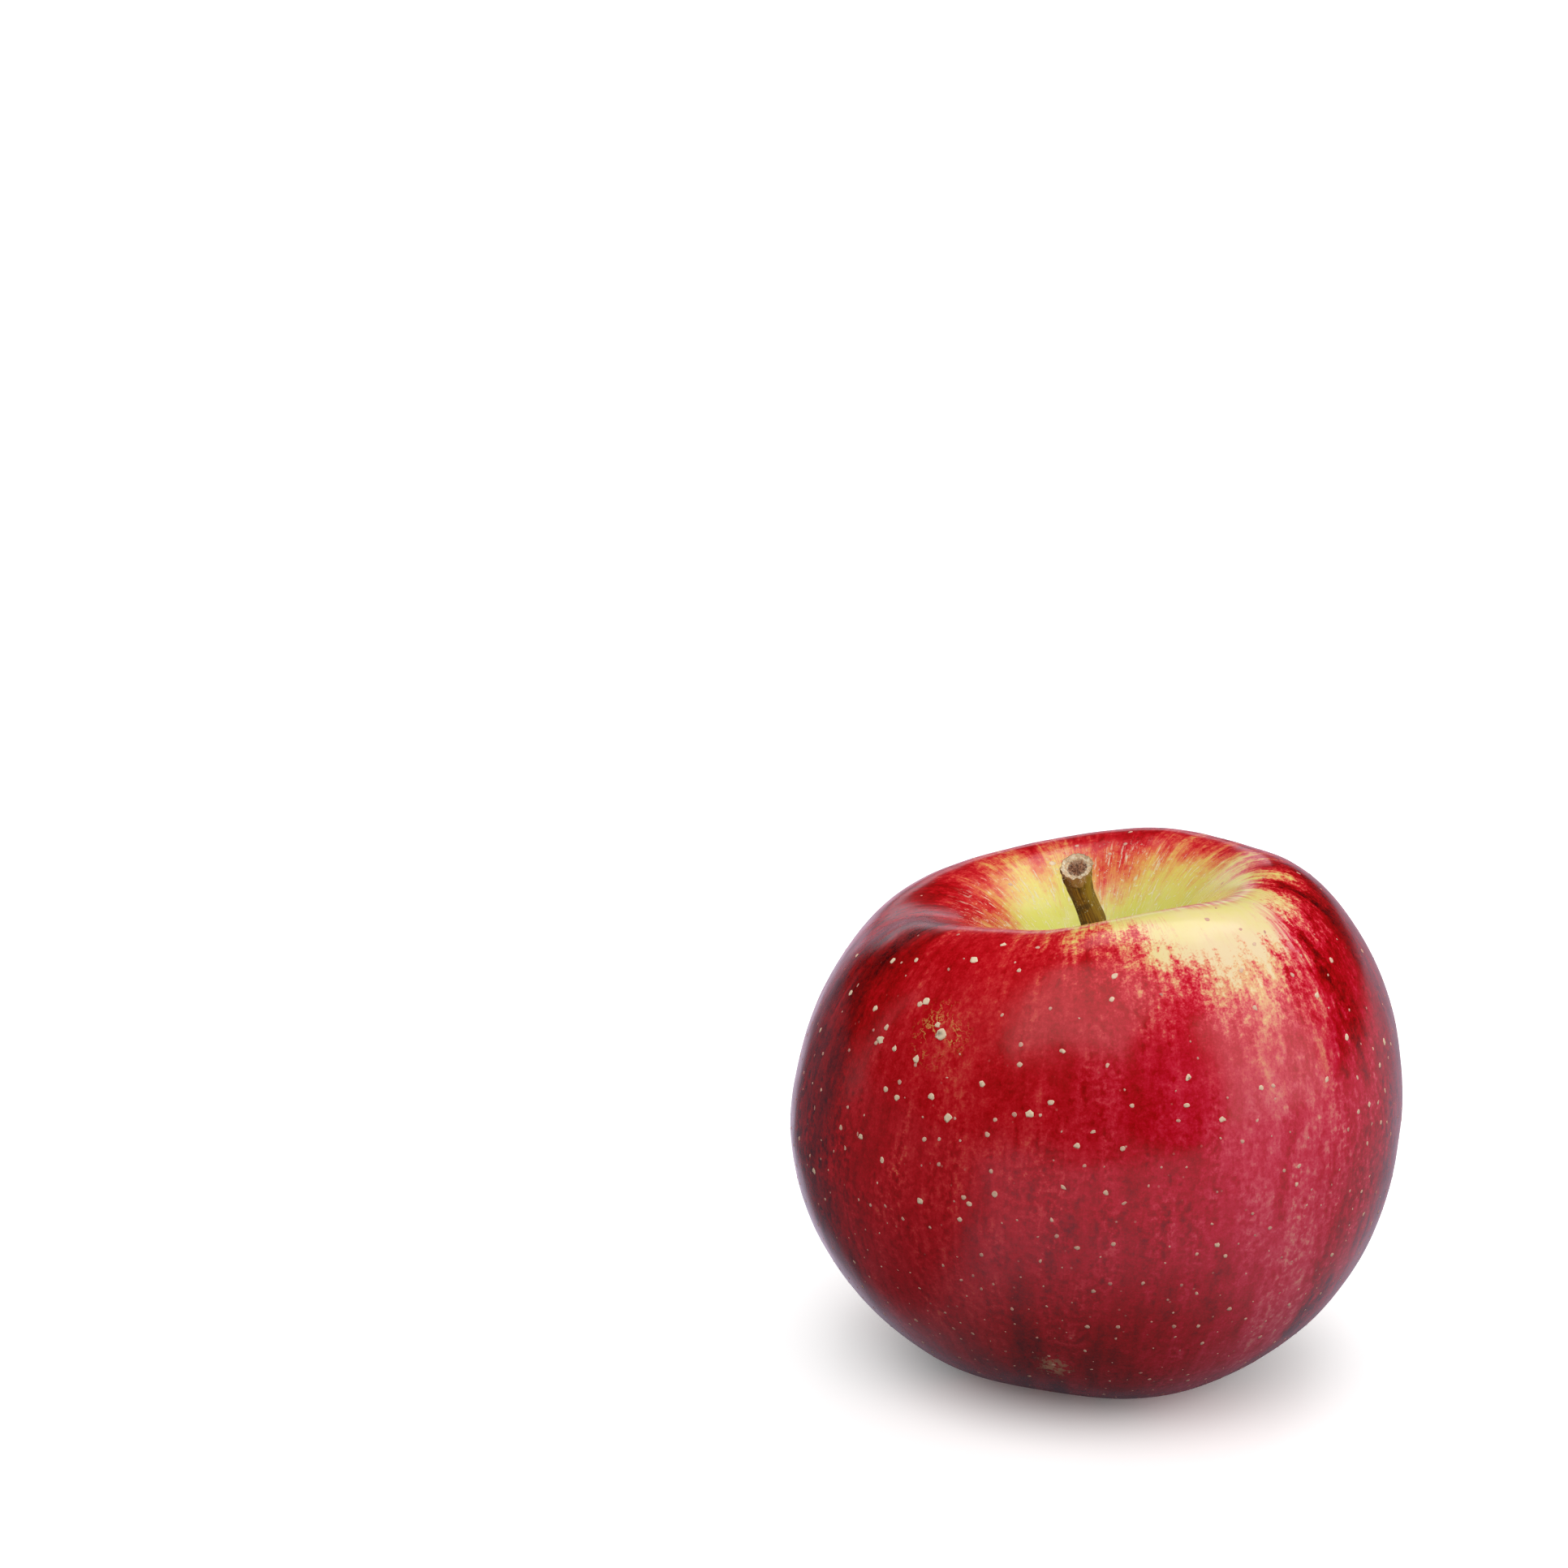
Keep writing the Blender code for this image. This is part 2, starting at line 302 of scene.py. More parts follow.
def makeSky():
    world = bpy.data.worlds.new("studioSky")
    world.use_nodes = True
    tree = world.node_tree
    tree.nodes.clear()
    ray = addNode(tree, "ShaderNodeLightPath")
    direction = addNode(tree, "ShaderNodeTexCoord").outputs["Generated"]
    upward = partsOf(tree, direction)[2]

    # Gloss sees a bright floor below the horizon, darker straight down and to the sides
    above = rise(tree, upward, -0.04, 0.02)
    down = rise(tree, upward, -0.55, -1.0)
    mirrored = mixColor(tree, down, studio["glossFloor"], studio["glossBelow"])
    toLeft = calcVector(tree, "DOT_PRODUCT", direction, studio["left"])
    toRight = calcVector(tree, "DOT_PRODUCT", direction, studio["right"])
    darkLeft = rise(tree, toLeft, 0.40, 0.68, 0.0, 1.0 - studio["glossLeft"])
    darkRight = rise(tree, toRight, 0.35, 0.80, 0.0, 1.0 - studio["glossRight"])
    darker = calc(tree, "MAXIMUM", darkLeft, darkRight)
    mirrored = mixColor(tree, calc(tree, "MAXIMUM", above, darker), mirrored, studio["glossAbove"])

    # Everything else gets an even fill, weak from below
    white = (1.0, 1.0, 1.0, 1.0)
    fromBelow = rise(tree, upward, -0.9, 0.0, studio["fillBelow"], studio["fillLevel"])
    fromAbove = rise(tree, upward, 0.0, 1.0, 1.0, studio["fillAbove"] / studio["fillLevel"])
    fillLight = times(tree, fromBelow, fromAbove)
    sky = addNode(tree, "ShaderNodeBackground", {"Color": white, "Strength": fillLight}).outputs[0]
    gloss = addNode(tree, "ShaderNodeBackground", {"Color": mirrored}).outputs[0]
    seen = addNode(tree, "ShaderNodeBackground", {"Color": white}).outputs[0]
    for kind, other in (("Is Glossy Ray", gloss), ("Is Camera Ray", seen)):
        sky = addNode(tree, "ShaderNodeMixShader", {0: ray.outputs[kind], 1: sky, 2: other}).outputs[0]
    addNode(tree, "ShaderNodeOutputWorld", {"Surface": sky})
    bpy.context.scene.world = world


def flatDisc(name, radius, height, sides, material):
    turns = [math.tau * side / sides for side in range(sides)]
    corners = [(radius * math.cos(turn), radius * math.sin(turn), height) for turn in turns]
    mesh = bpy.data.meshes.new(name)
    mesh.from_pydata(corners, [], [tuple(range(sides))])
    mesh.materials.append(material)
    return addObject(name, mesh)


def makeFloor():
    material, tree, shader = newMaterial("palePaper")
    shader.inputs["Base Color"].default_value = (*studio["floorColor"], 1.0)
    shader.inputs["Roughness"].default_value = studio["paperRoughness"]
    shader.inputs["Specular IOR Level"].default_value = 0.1
    shader.inputs["Emission Color"].default_value = (1.0, 1.0, 1.0, 1.0)
    # Painted light: the floor glows, from nothing close under the fruit to most further off, which lightens
    # the fruit's shadow on it and keeps the far floor white
    distance = calcVector(tree, "LENGTH", objectPlace(tree))
    near = rise(tree, distance, 0.009, 0.038, 0.0, 0.85 * studio["floorGlow"])
    far = rise(tree, distance, 0.05, 0.20, 0.0, 0.15 * studio["floorGlow"])
    horizon = rise(tree, distance, 0.4, 2.5, 0.0, studio["horizonGlow"])
    plug(tree, shader.inputs["Emission Strength"], plus(tree, near, far, horizon))
    floor = flatDisc("floor", studio["floorRadius"], 0.0, studio["floorSides"], material)
    floor.visible_glossy = False  # the sky stands in for the light that the floor throws back
    floor.visible_diffuse = False


def makeFloorShade():
    # what the gloss mirrors close under the fruit, where the floor lies in its shadow
    material, tree, shader = newMaterial("shadedPaper")
    shader.inputs["Base Color"].default_value = (*studio["shadeColor"], 1.0)
    shader.inputs["Roughness"].default_value = studio["paperRoughness"]
    radius = studio["shadeRadius"]
    distance = calcVector(tree, "LENGTH", objectPlace(tree))
    plug(tree, shader.inputs["Alpha"], rise(tree, distance, radius, 0.2 * radius))
    shade = flatDisc("floorShade", radius, -studio["shadeDrop"], studio["shadeSides"], material)
    shade.visible_camera = False
    shade.visible_diffuse = False
    shade.visible_shadow = False


makeCamera()
makeLights()
makeSky()
makeFloor()
makeFloorShade()
bpy.context.scene.view_settings.view_transform = "Standard"
print("studio ready")


# The fruit's shape: one profile, turned, then grown out of round. Lengths in millimetres.

fruit = {
    "radius": 40.0,
    "height": 64.3,  # of the crest round the stem cavity
    "equator": 34.1,
    "crestRadius": 22.2,
    "upperFullness": 1.84,
    "lowerFullness": 2.0,
    "ringOuter": 10.6,
    "ringInner": 8.6,
    "cavityDepth": 14.5,
    "cavityFlare": 1.3,
    "cavityRoll": 2.0,
    "socketRadius": 2.4,
    "socketDepth": 2.0,
    "basinDepth": 8.2,
    "basinFlare": 1.6,
    "tubeRadius": 2.1,
    "tubeDepth": 3.0,
    "liftSpread": 1.15,
    "sway": 0.5,
    "oval": 0.035,
    "ovalDirection": 121.0,
    "lobes": 0.035,
    "lobeCount": 5,
    "lobeFade": 6.0,
    "rows": 256,
    "sides": 380,
    "lump": 0.16,
    "quickLump": 0.22,  # share of the slow lumps
    "rimLump": 0.22,
    "slowScale": 52.0,
    "quickScale": 170.0,
    "rimScale": 78.0,
    "inset": 0.14,  # how far the lumpy skin stays inside the smooth one
}

# points of the profile before they are spread evenly
profileSteps = {"socket": 12, "well": 10, "cavity": 200, "quarter": 200, "basin": 120, "tube": 12, "roof": 8}

# waves round the shoulder: how many, height, direction of a crest in degrees
shoulderWaves = ((1, 3.57, -19.0), (2, 0.70, 82.0), (5, 0.30, -4.0))


def basinHeight(radius):
    out = (radius - fruit["tubeRadius"]) / (fruit["ringInner"] - fruit["tubeRadius"])
    out = min(max(out, 0.0), 1.0)
    return fruit["basinDepth"] * (1.0 - out ** fruit["basinFlare"]) ** fruit["basinFlare"]


def profileLine():
    # radius, height, how much the shoulder waves lift it, sideways sway
    f = fruit
    count = profileSteps
    floor = f["height"] - f["cavityDepth"]
    line = []
    for step in range(count["socket"]):
        line.append((f["socketRadius"] * step / count["socket"], floor - f["socketDepth"], 0.0, 0.0))
    for step in range(count["well"]):
        line.append((f["socketRadius"], floor - f["socketDepth"] * (1.0 - step / count["well"]), 0.0, 0.0))
    for step in range(count["cavity"]):
        out = step / count["cavity"]
        radius = f["socketRadius"] + (f["crestRadius"] - f["socketRadius"]) * out
        drop = f["cavityDepth"] * (1.0 - out ** f["cavityFlare"]) ** f["cavityRoll"]
        line.append((radius, f["height"] - drop, smoothStep(out), 0.0))
    for step in range(2 * count["quarter"]):
        angle = math.pi / 2 * (1.0 - step / count["quarter"])
        fullness = f["upperFullness"] if angle > 0.0 else f["lowerFullness"]
        out = abs(math.cos(angle)) ** (2.0 / fullness)
        up = abs(math.sin(angle)) ** (2.0 / fullness)
        if angle > 0.0:
            radius = f["crestRadius"] + (f["radius"] - f["crestRadius"]) * out
            height = f["equator"] + (f["height"] - f["equator"]) * up
        else:
            radius = f["ringOuter"] + (f["radius"] - f["ringOuter"]) * out
            height = f["equator"] * (1.0 - up)
        share = height / f["height"]
        felt = 1.0 - (1.0 - share) ** f["liftSpread"]
        line.append((radius, height, felt, f["sway"] * max(-math.sin(math.tau * share), 0.0)))
    for step in range(count["basin"]):
        radius = f["ringOuter"] + (f["tubeRadius"] - f["ringOuter"]) * step / count["basin"]
        line.append((radius, basinHeight(radius), 0.0, 0.0))
    for step in range(count["tube"]):
        line.append((f["tubeRadius"], f["basinDepth"] + f["tubeDepth"] * step / count["tube"], 0.0, 0.0))
    for step in range(count["roof"] + 1):
        radius = f["tubeRadius"] * (1.0 - step / count["roof"])
        line.append((radius, f["basinDepth"] + f["tubeDepth"], 0.0, 0.0))
    return line


def evenRows(line, count):
    # the same line with its rows an even distance apart, and its tight corners eased
    lengths = [0.0]
    for near, far in zip(line, line[1:]):
        lengths.append(lengths[-1] + math.hypot(far[0] - near[0], far[1] - near[1]))
    rows = []
    place = 0
    for row in range(count):
        target = lengths[-1] * row / (count - 1)
        while place < len(line) - 2 and lengths[place + 1] < target:
            place += 1
        gap = max(lengths[place + 1] - lengths[place], 1e-9)
        part = min(max((target - lengths[place]) / gap, 0.0), 1.0)
        mixed = [a + (b - a) * part for a, b in zip(line[place], line[place + 1])]
        rows.append([*mixed, target])
    for _ in range(3):
        eased = [list(row) for row in rows]
        for before, row, after, new in zip(rows, rows[1:], rows[2:], eased[1:]):
            if row[1] > 0.02:  # the ring that the fruit stands on keeps its shape
                for k in range(2):
                    new[k] = (before[k] + 2.0 * row[k] + after[k]) / 4.0
        rows = eased
    return rows


fruitRows = evenRows(profileLine(), fruit["rows"])
socketLength = 2.0  # so that a row's run is 0 at the middle of a cavity without its socket


def skinPlace(azimuth, run):
    # the point of the skin at that azimuth in degrees, that many millimetres from the stem
    turned = math.radians(azimuth)
    row = min(fruitRows, key=lambda r: abs(r[4] - socketLength - run))
    radius, height, felt, sway, _ = row
    lift = sum(h * math.cos(n * (turned - math.radians(c))) for n, h, c in shoulderWaves)
    scale = 1.0 + fruit["oval"] * math.cos(2.0 * (turned - math.radians(fruit["ovalDirection"])))
    fade = (1.0 - height / fruit["height"]) ** fruit["lobeFade"]
    scale += fruit["lobes"] * max(fade, 0.0) * math.cos(fruit["lobeCount"] * turned)
    out = radius * scale
    return Vector((out * math.cos(turned) + sway, out * math.sin(turned), height + felt * lift)) * mm


def profileMesh():
    mesh = bpy.data.meshes.new("fruitProfile")
    mesh.from_pydata([(r[0] * mm, 0.0, r[1] * mm) for r in fruitRows], [], [])
    for name, values in (
        ("felt", [r[2] for r in fruitRows]),
        ("sway", [r[3] * mm for r in fruitRows]),
        ("run", [r[4] - socketLength for r in fruitRows]),
    ):
        mesh.attributes.new(name, "FLOAT", "POINT").data.foreach_set("value", values)
    return mesh


def fruitTree():
    tree, given = newTree(
        "turned and grown fruit",
        (
            ("Rows", "Int"),
            ("Sides", "Int"),
            ("Lump", "Float"),
            ("Rim Lump", "Float"),
            ("Material", "Material"),
        ),
    )
    grid = addNode(tree, "GeometryNodeMeshGrid", {"Size X": 1.0, "Size Y": 1.0, "Vertices X": given["Rows"]})
    plug(tree, grid.inputs["Vertices Y"], plus(tree, given["Sides"], 1.0))
    flat = partsOf(tree, herePlace(tree))
    lastRow = calc(tree, "SUBTRACT", given["Rows"], 1.0)
    row = calc(tree, "ROUND", times(tree, plus(tree, flat[0], 0.5), lastRow))
    turned = times(tree, flat[1], math.tau)

    def fromProfile(value, kind="FLOAT"):
        sampled = addNode(tree, "GeometryNodeSampleIndex", data_type=kind, domain="POINT")
        plug(tree, sampled.inputs["Geometry"], given["Geometry"])
        plug(tree, sampled.inputs["Value"], value)
        plug(tree, sampled.inputs["Index"], row)
        return sampled.outputs[0]

    def wave(count, height, crest):
        angle = times(tree, calc(tree, "SUBTRACT", turned, math.radians(crest)), float(count))
        return times(tree, calc(tree, "COSINE", angle), height)

    def keep(geometry, name, value, kind):
        node = addNode(tree, "GeometryNodeStoreNamedAttribute", data_type=kind, domain="POINT")
        plug(tree, node.inputs["Geometry"], geometry)
        plug(tree, node.inputs["Name"], name)
        plug(tree, node.inputs["Value"], value)
        return node.outputs[0]

    place = partsOf(tree, fromProfile(herePlace(tree), "FLOAT_VECTOR"))
    felt = fromProfile(stored(tree, "felt"))
    sway = fromProfile(stored(tree, "sway"))
    run = fromProfile(stored(tree, "run"))
    lift = 0.0
    for count, height, crest in shoulderWaves:
        lift = plus(tree, lift, wave(count, height * mm, crest))
    share = calc(tree, "DIVIDE", place[2], fruit["height"] * mm)
    share = calc(tree, "MINIMUM", calc(tree, "MAXIMUM", share, 0.0), 1.0)
    fade = calc(tree, "POWER", calc(tree, "SUBTRACT", 1.0, share), fruit["lobeFade"])
    oval = wave(2, fruit["oval"], fruit["ovalDirection"])
    lobes = times(tree, fade, wave(fruit["lobeCount"], fruit["lobes"], 0.0))
    radius = times(tree, place[0], plus(tree, oval, 1.0, lobes))
    cosine = calc(tree, "COSINE", turned)
    sine = calc(tree, "SINE", turned)
    onSkin = vectorOf(
        tree,
        plus(tree, times(tree, radius, cosine), sway),
        times(tree, radius, sine),
        plus(tree, place[2], times(tree, felt, lift)),
    )
    marked = keep(grid.outputs["Mesh"], "run", run, "FLOAT")
    marked = keep(marked, "turn", vectorOf(tree, cosine, sine), "FLOAT_VECTOR")
    turnedSkin = addNode(tree, "GeometryNodeSetPosition", {"Geometry": marked, "Position": onSkin})
    closed = addNode(
        tree, "GeometryNodeMergeByDistance", {"Geometry": turnedSkin.outputs[0], "Distance": 1e-6}
    )

    # Slow lumps all over and stronger ones round the rim, none where the fruit stands
    here = herePlace(tree)
    standing = rise(tree, partsOf(tree, here)[2], 0.3 * mm, 7.0 * mm)
    kept = stored(tree, "run")
    rim = times(tree, rise(tree, kept, 12.0, 25.0), rise(tree, kept, 46.0, 30.0))
    slow = swing(tree, grain(tree, here, fruit["slowScale"], 1.0), 1.0)
    quick = swing(tree, grain(tree, here, fruit["quickScale"], 1.0), fruit["quickLump"])
    rimNoise = swing(tree, grain(tree, here, fruit["rimScale"], 0.5), 1.0)
    push = times(tree, plus(tree, slow, quick), given["Lump"])
    push = plus(tree, push, times(tree, rimNoise, rim, given["Rim Lump"]))
    push = times(tree, calc(tree, "SUBTRACT", push, fruit["inset"]), mm, standing)
    normal = addNode(tree, "GeometryNodeInputNormal").outputs[0]
    pushed = calcVector(tree, "MULTIPLY", normal, vectorOf(tree, push, push, push))
    lumpy = addNode(tree, "GeometryNodeSetPosition", {"Geometry": closed.outputs[0], "Offset": pushed})
    endTree(tree, lumpy.outputs[0], given["Material"])
    return tree


# The skin's colors: a pale ground, and red laid over it the way dye darkens paper

skin = {
    "lime": (0.76, 0.78, 0.16),  # ground in the stem cavity
    "paleLime": (0.93, 0.88, 0.42),  # clouds in it
    "yellow": (0.90, 0.82, 0.19),
    "cream": (1.00, 0.80, 0.50),
    "gold": (0.95, 0.68, 0.14),
    "basinGround": (0.42, 0.36, 0.12),
    "redPass": (0.66, 0.0042, 0.066),  # share of each color that one coat of red lets through
    "fleck": (0.93, 0.86, 0.62),
    "pore": (0.80, 0.42, 0.34),
    "crack": (0.86, 0.42, 0.10),
    "star": (0.62, 0.33, 0.20),
    "russet": (0.50, 0.31, 0.12),
    "edgeSoftness": 8.5,  # millimetres over which the red sets in
    "edgeStart": -0.55,  # where it starts, as a share of that
    "hairCoats": 0.20,  # coats of red in the hairs ahead of the edge
    "dashCoats": 0.50,
    "blushCoats": 0.50,
    "paleSide": (-48.0, 32.0),  # azimuth of its middle and half its width, in degrees
    "creamSide": (-55.0, 62.0),
    "blotchStretch": (1.0, 1.0, 0.55),
    "blotch": (0.62, 4.0, 0.7),
    "poresPerMm": 0.42,
    "roughness": 0.20,
    "specular": 0.40,
    "bumpDepth": 0.00005,
    "bumpStrength": 0.55,
}

# noises drawn out down the skin: how fine across it and along it, detail, roughness
longNoises = {
    "broad": (5.0, 0.026, 2.0, 0.55),
    "streak": (10.0, 0.055, 3.0, 0.5),
    "fine": (36.0, 0.16, 3.0, 0.6),
    "hair": (120.0, 0.35, 2.0, 0.6),
    "flecks": (44.0, 0.42, 4.0, 0.7),
    "wrinkles": (26.0, 0.35, 3.0, 0.6),
}

# even noises: how fine, detail, roughness
evenNoises = {
    "mottle": (0.22, 3.0, 0.6),
    "speckle": (1.1, 3.0, 0.7),
    "powder": (3.4, 2.0, 0.7),
    "cloud": (0.30, 3.0, 0.6),
    "crumbs": (1.7, 3.0, 0.75),
    "wander": (0.75, 3.0, 0.65),
}

# what changes down the skin: from and to in millimetres from the stem, and the value at each
downSkin = {
    "steeper": (22.0, 32.0, 0.75, 1.0),
    "feathered": (18.0, 32.0, 0.50, 1.0),  # how far the long noises move the edge of the red
    "outside": (22.0, 33.0, 0.15, 1.0),  # and the small ones
    "softer": (18.0, 30.0, 1.5, 1.0),
    "thinner": (52.0, 62.0, 1.0, 0.88),
    # more coats low down: partly a deeper red, partly painted shade on the lower half
    "moreRedAndShadeBelow": (64.0, 96.0, 1.0, 1.80),
    "lowSide": (52.0, 66.0, 0.0, 1.0),
    "hairs": (36.0, 27.0, 0.0, 1.0),
    "golden": (26.0, 19.0, 0.0, 0.55),
    "yellower": (8.0, 24.0, 0.0, 1.0),
    "creamTop": (58.0, 38.0, 0.60, 1.0),
    "basinGround": (108.0, 119.0, 0.0, 1.0),
    "cloudy": (20.0, 12.0, 0.0, 1.0),
    "flecksFrom": (3.0, 8.0, 0.0, 1.0),
    "flecksTo": (26.0, 19.0, 0.0, 1.0),
    "porous": (34.0, 95.0, 0.15, 0.75),
    "poresTo": (112.0, 104.0, 0.0, 1.0),
    "basin": (113.0, 122.0, 0.0, 1.0),
}

# how far each noise moves the edge of the red, in millimetres, and where
edgeSwing = {
    "streak": (3.0, "feathered"),
    "fine": (2.2, "feathered"),
    "mottle": (2.0, "feathered"),
    "speckle": (3.2, "outside"),
    "powder": (2.2, "outside"),
}

# the share by which each noise thins and thickens the red
redSwing = {"broad": 0.30, "streak": 0.46, "fine": 0.20, "mottle": 0.38, "speckle": 0.40, "powder": 0.34}

# marks: azimuth, millimetres from the stem, half the width in degrees, half the length in millimetres
marks = {
    "dash": (-42.5, 38.0, 6.0, 10.0),  # one dark streak in the pale patch
    "rimBlush": (-52.0, 24.5, 30.0, 4.5),
    "cracks": (-129.0, 44.5, 9.0, 5.5),
    "star": (-102.0, 90.5, 6.5, 4.2),
}

# where the red sets in, in millimetres from the stem, round the fruit by azimuth in degrees
redEdge = (
    (-180, 21.5), (-150, 22.0), (-118, 24.0), (-107, 27.0), (-100, 30.0), (-90, 32.5), (-80, 36.0),
    (-67, 40.5), (-52, 40.0), (-41, 36.0), (-32, 32.0), (-20, 29.5), (0, 28.5), (38, 26.0),
    (54, 24.0), (66, 22.5), (80, 21.0), (98, 24.5), (118, 26.0), (140, 22.5), (158, 19.5), (180, 21.5),
)

# how many coats of red lie on the side, by azimuth; the many coats round -180 and from -29 to 0 are partly a
# deeper red, partly painted shade at the two sides
redAndShadeCoats = (
    (-180, 2.80), (-161, 2.60), (-149, 1.50), (-128, 0.86), (-92, 1.10), (-77, 0.96), (-67, 0.60),
    (-58, 0.48), (-50, 0.72), (-44, 1.20), (-36, 1.40), (-29, 2.10), (-14, 2.50), (0, 2.45),
    (25, 1.70), (50, 1.15), (85, 1.35), (120, 1.00), (150, 1.60), (180, 2.50),
)


def roundCurve(tree, around, points, top):
    # a value by azimuth, from points that meet at both ends
    made = addNode(tree, "ShaderNodeFloatCurve", {"Value": around})
    curve = made.mapping.curves[0]
    places = [((azimuth + 180.0) / 360.0, value / top) for azimuth, value in points]
    curve.points[0].location = places[0]
    curve.points[-1].location = places[-1]
    for place in places[1:-1]:
        curve.points.new(*place)
    made.mapping.update()
    return times(tree, made.outputs[0], top)


def sideways(tree, turn, azimuth, halfWidth):
    # how far round the fruit from that azimuth, as a share of the half width
    aim = tuple(aroundAt(math.radians(azimuth)))
    facing = calc(tree, "MINIMUM", calcVector(tree, "DOT_PRODUCT", turn, aim), 1.0)
    return calc(tree, "DIVIDE", calc(tree, "ARCCOSINE", facing), math.radians(halfWidth))


def side(tree, turn, azimuth, halfWidth):
    return rise(tree, sideways(tree, turn, azimuth, halfWidth), 1.0, 0.15)


def spot(tree, turn, run, azimuth, middle, halfWidth, halfLength):
    # 1 in the middle of an oval on the skin, 0 at its edge
    across = sideways(tree, turn, azimuth, halfWidth)
    along = calc(tree, "DIVIDE", calc(tree, "SUBTRACT", run, middle), halfLength)
    squares = plus(tree, times(tree, across, across), times(tree, along, along))
    return rise(tree, calc(tree, "SQRT", squares), 1.0, 0.15)


def makeNoises(tree, turn, run, inMm):
    turned = partsOf(tree, turn)
    lengthwise = vectorOf(tree, turned[0], turned[1], run)
    noises = {}
    for name, (across, along, detail, roughness) in longNoises.items():
        drawnOut = stretch(tree, lengthwise, (across, across, along))
        noises[name] = grain(tree, drawnOut, 1.0, detail, roughness)
    for name, values in evenNoises.items():
        noises[name] = grain(tree, inMm, *values)
    noises["blotch"] = grain(tree, stretch(tree, inMm, skin["blotchStretch"]), *skin["blotch"])
    return noises


def layRed(tree, turn, around, run, reach, noises, down):
    # how many coats of red lie on the ground; the pale side keeps more of its blotches
    softness = times(tree, down["softer"], skin["edgeSoftness"])
    setIn = rise(tree, reach, times(tree, softness, skin["edgeStart"]), softness)
    # the coats by azimuth are partly painted shade at the sides round -180 and 0
    onSide = roundCurve(tree, around, redAndShadeCoats, 3.0)
    paleSide = side(tree, turn, *skin["paleSide"])
    # the extra coats low down are partly painted shade
    coats = times(tree, onSide, down["thinner"], down["moreRedAndShadeBelow"])
    coats = vary(tree, coats, noises["streak"], 0.55, paleSide)
    coats = vary(tree, coats, noises["blotch"], 1.15, paleSide)
    coats = vary(tree, coats, noises["streak"], 0.25, down["lowSide"])
    for name, amount in redSwing.items():
        coats = vary(tree, coats, noises[name], amount)

    # Never fewer coats than this, so that no bare ground shows through
    leastCoats = times(tree, onSide, rise(tree, paleSide, 0.1, 0.7, 0.78, 0.46))
    leastCoats = vary(tree, leastCoats, noises["speckle"], 1.1)
    leastCoats = vary(tree, leastCoats, noises["fine"], 0.6)
    lowLeast = rise(tree, paleSide, 0.1, 0.7, 1.5, 2.4)
    leastCoats = times(tree, leastCoats, rise(tree, run, 48.0, 68.0, 1.0, lowLeast))
    red = times(tree, calc(tree, "MAXIMUM", coats, leastCoats), setIn)

    # Faint red and golden hairs ahead of the edge, and the streaks in the pale patch
    hairs = times(tree, rise(tree, reach, -11.0, 2.0), rise(tree, noises["hair"], 0.50, 0.66), down["hairs"])
    red = plus(tree, red, times(tree, hairs, skin["hairCoats"]))
    golden = times(tree, down["golden"], rise(tree, noises["fine"], 0.42, 0.60))
    red = times(tree, red, calc(tree, "SUBTRACT", 1.0, golden))
    dash = times(tree, spot(tree, turn, run, *marks["dash"]), rise(tree, noises["fine"], 0.35, 0.6))
    blush = times(tree, spot(tree, turn, run, *marks["rimBlush"]), rise(tree, noises["fine"], 0.40, 0.62))
    red = plus(tree, red, times(tree, dash, skin["dashCoats"]), times(tree, blush, skin["blushCoats"]))
    return calc(tree, "MAXIMUM", red, 0.0)


def layGround(tree, turn, run, reach, noises, down):
    ground = mixColor(tree, down["yellower"], skin["lime"], skin["yellow"])
    ground = mixColor(tree, rise(tree, reach, -9.0, 1.0, 0.0, 0.80), ground, skin["gold"])
    creamy = rise(tree, plus(tree, run, swing(tree, noises["mottle"], 3.0)), 21.0, 37.0)
    creamy = times(tree, creamy, down["creamTop"], side(tree, turn, *skin["creamSide"]))
    ground = mixColor(tree, creamy, ground, skin["cream"])
    goldEdge = times(tree, rise(tree, reach, -5.0, -1.0), rise(tree, reach, 16.0, 5.0, 0.0, 0.55))
    ground = mixColor(tree, goldEdge, ground, skin["gold"])
    ground = mixColor(tree, down["basinGround"], ground, skin["basinGround"])
    cloudy = times(tree, rise(tree, noises["cloud"], 0.42, 0.70, 0.0, 0.45), down["cloudy"])
    return mixColor(tree, cloudy, ground, skin["paleLime"])


def dye(tree, ground, coats):
    # one coat lets a share of each color through, more coats that share's power
    groundParts = addNode(tree, "ShaderNodeSeparateColor", {0: ground})
    dyed = addNode(tree, "ShaderNodeCombineColor")
    for number, passes in enumerate(skin["redPass"]):
        through = calc(tree, "POWER", passes, coats)
        plug(tree, dyed.inputs[number], times(tree, groundParts.outputs[number], through))
    return dyed.outputs[0]


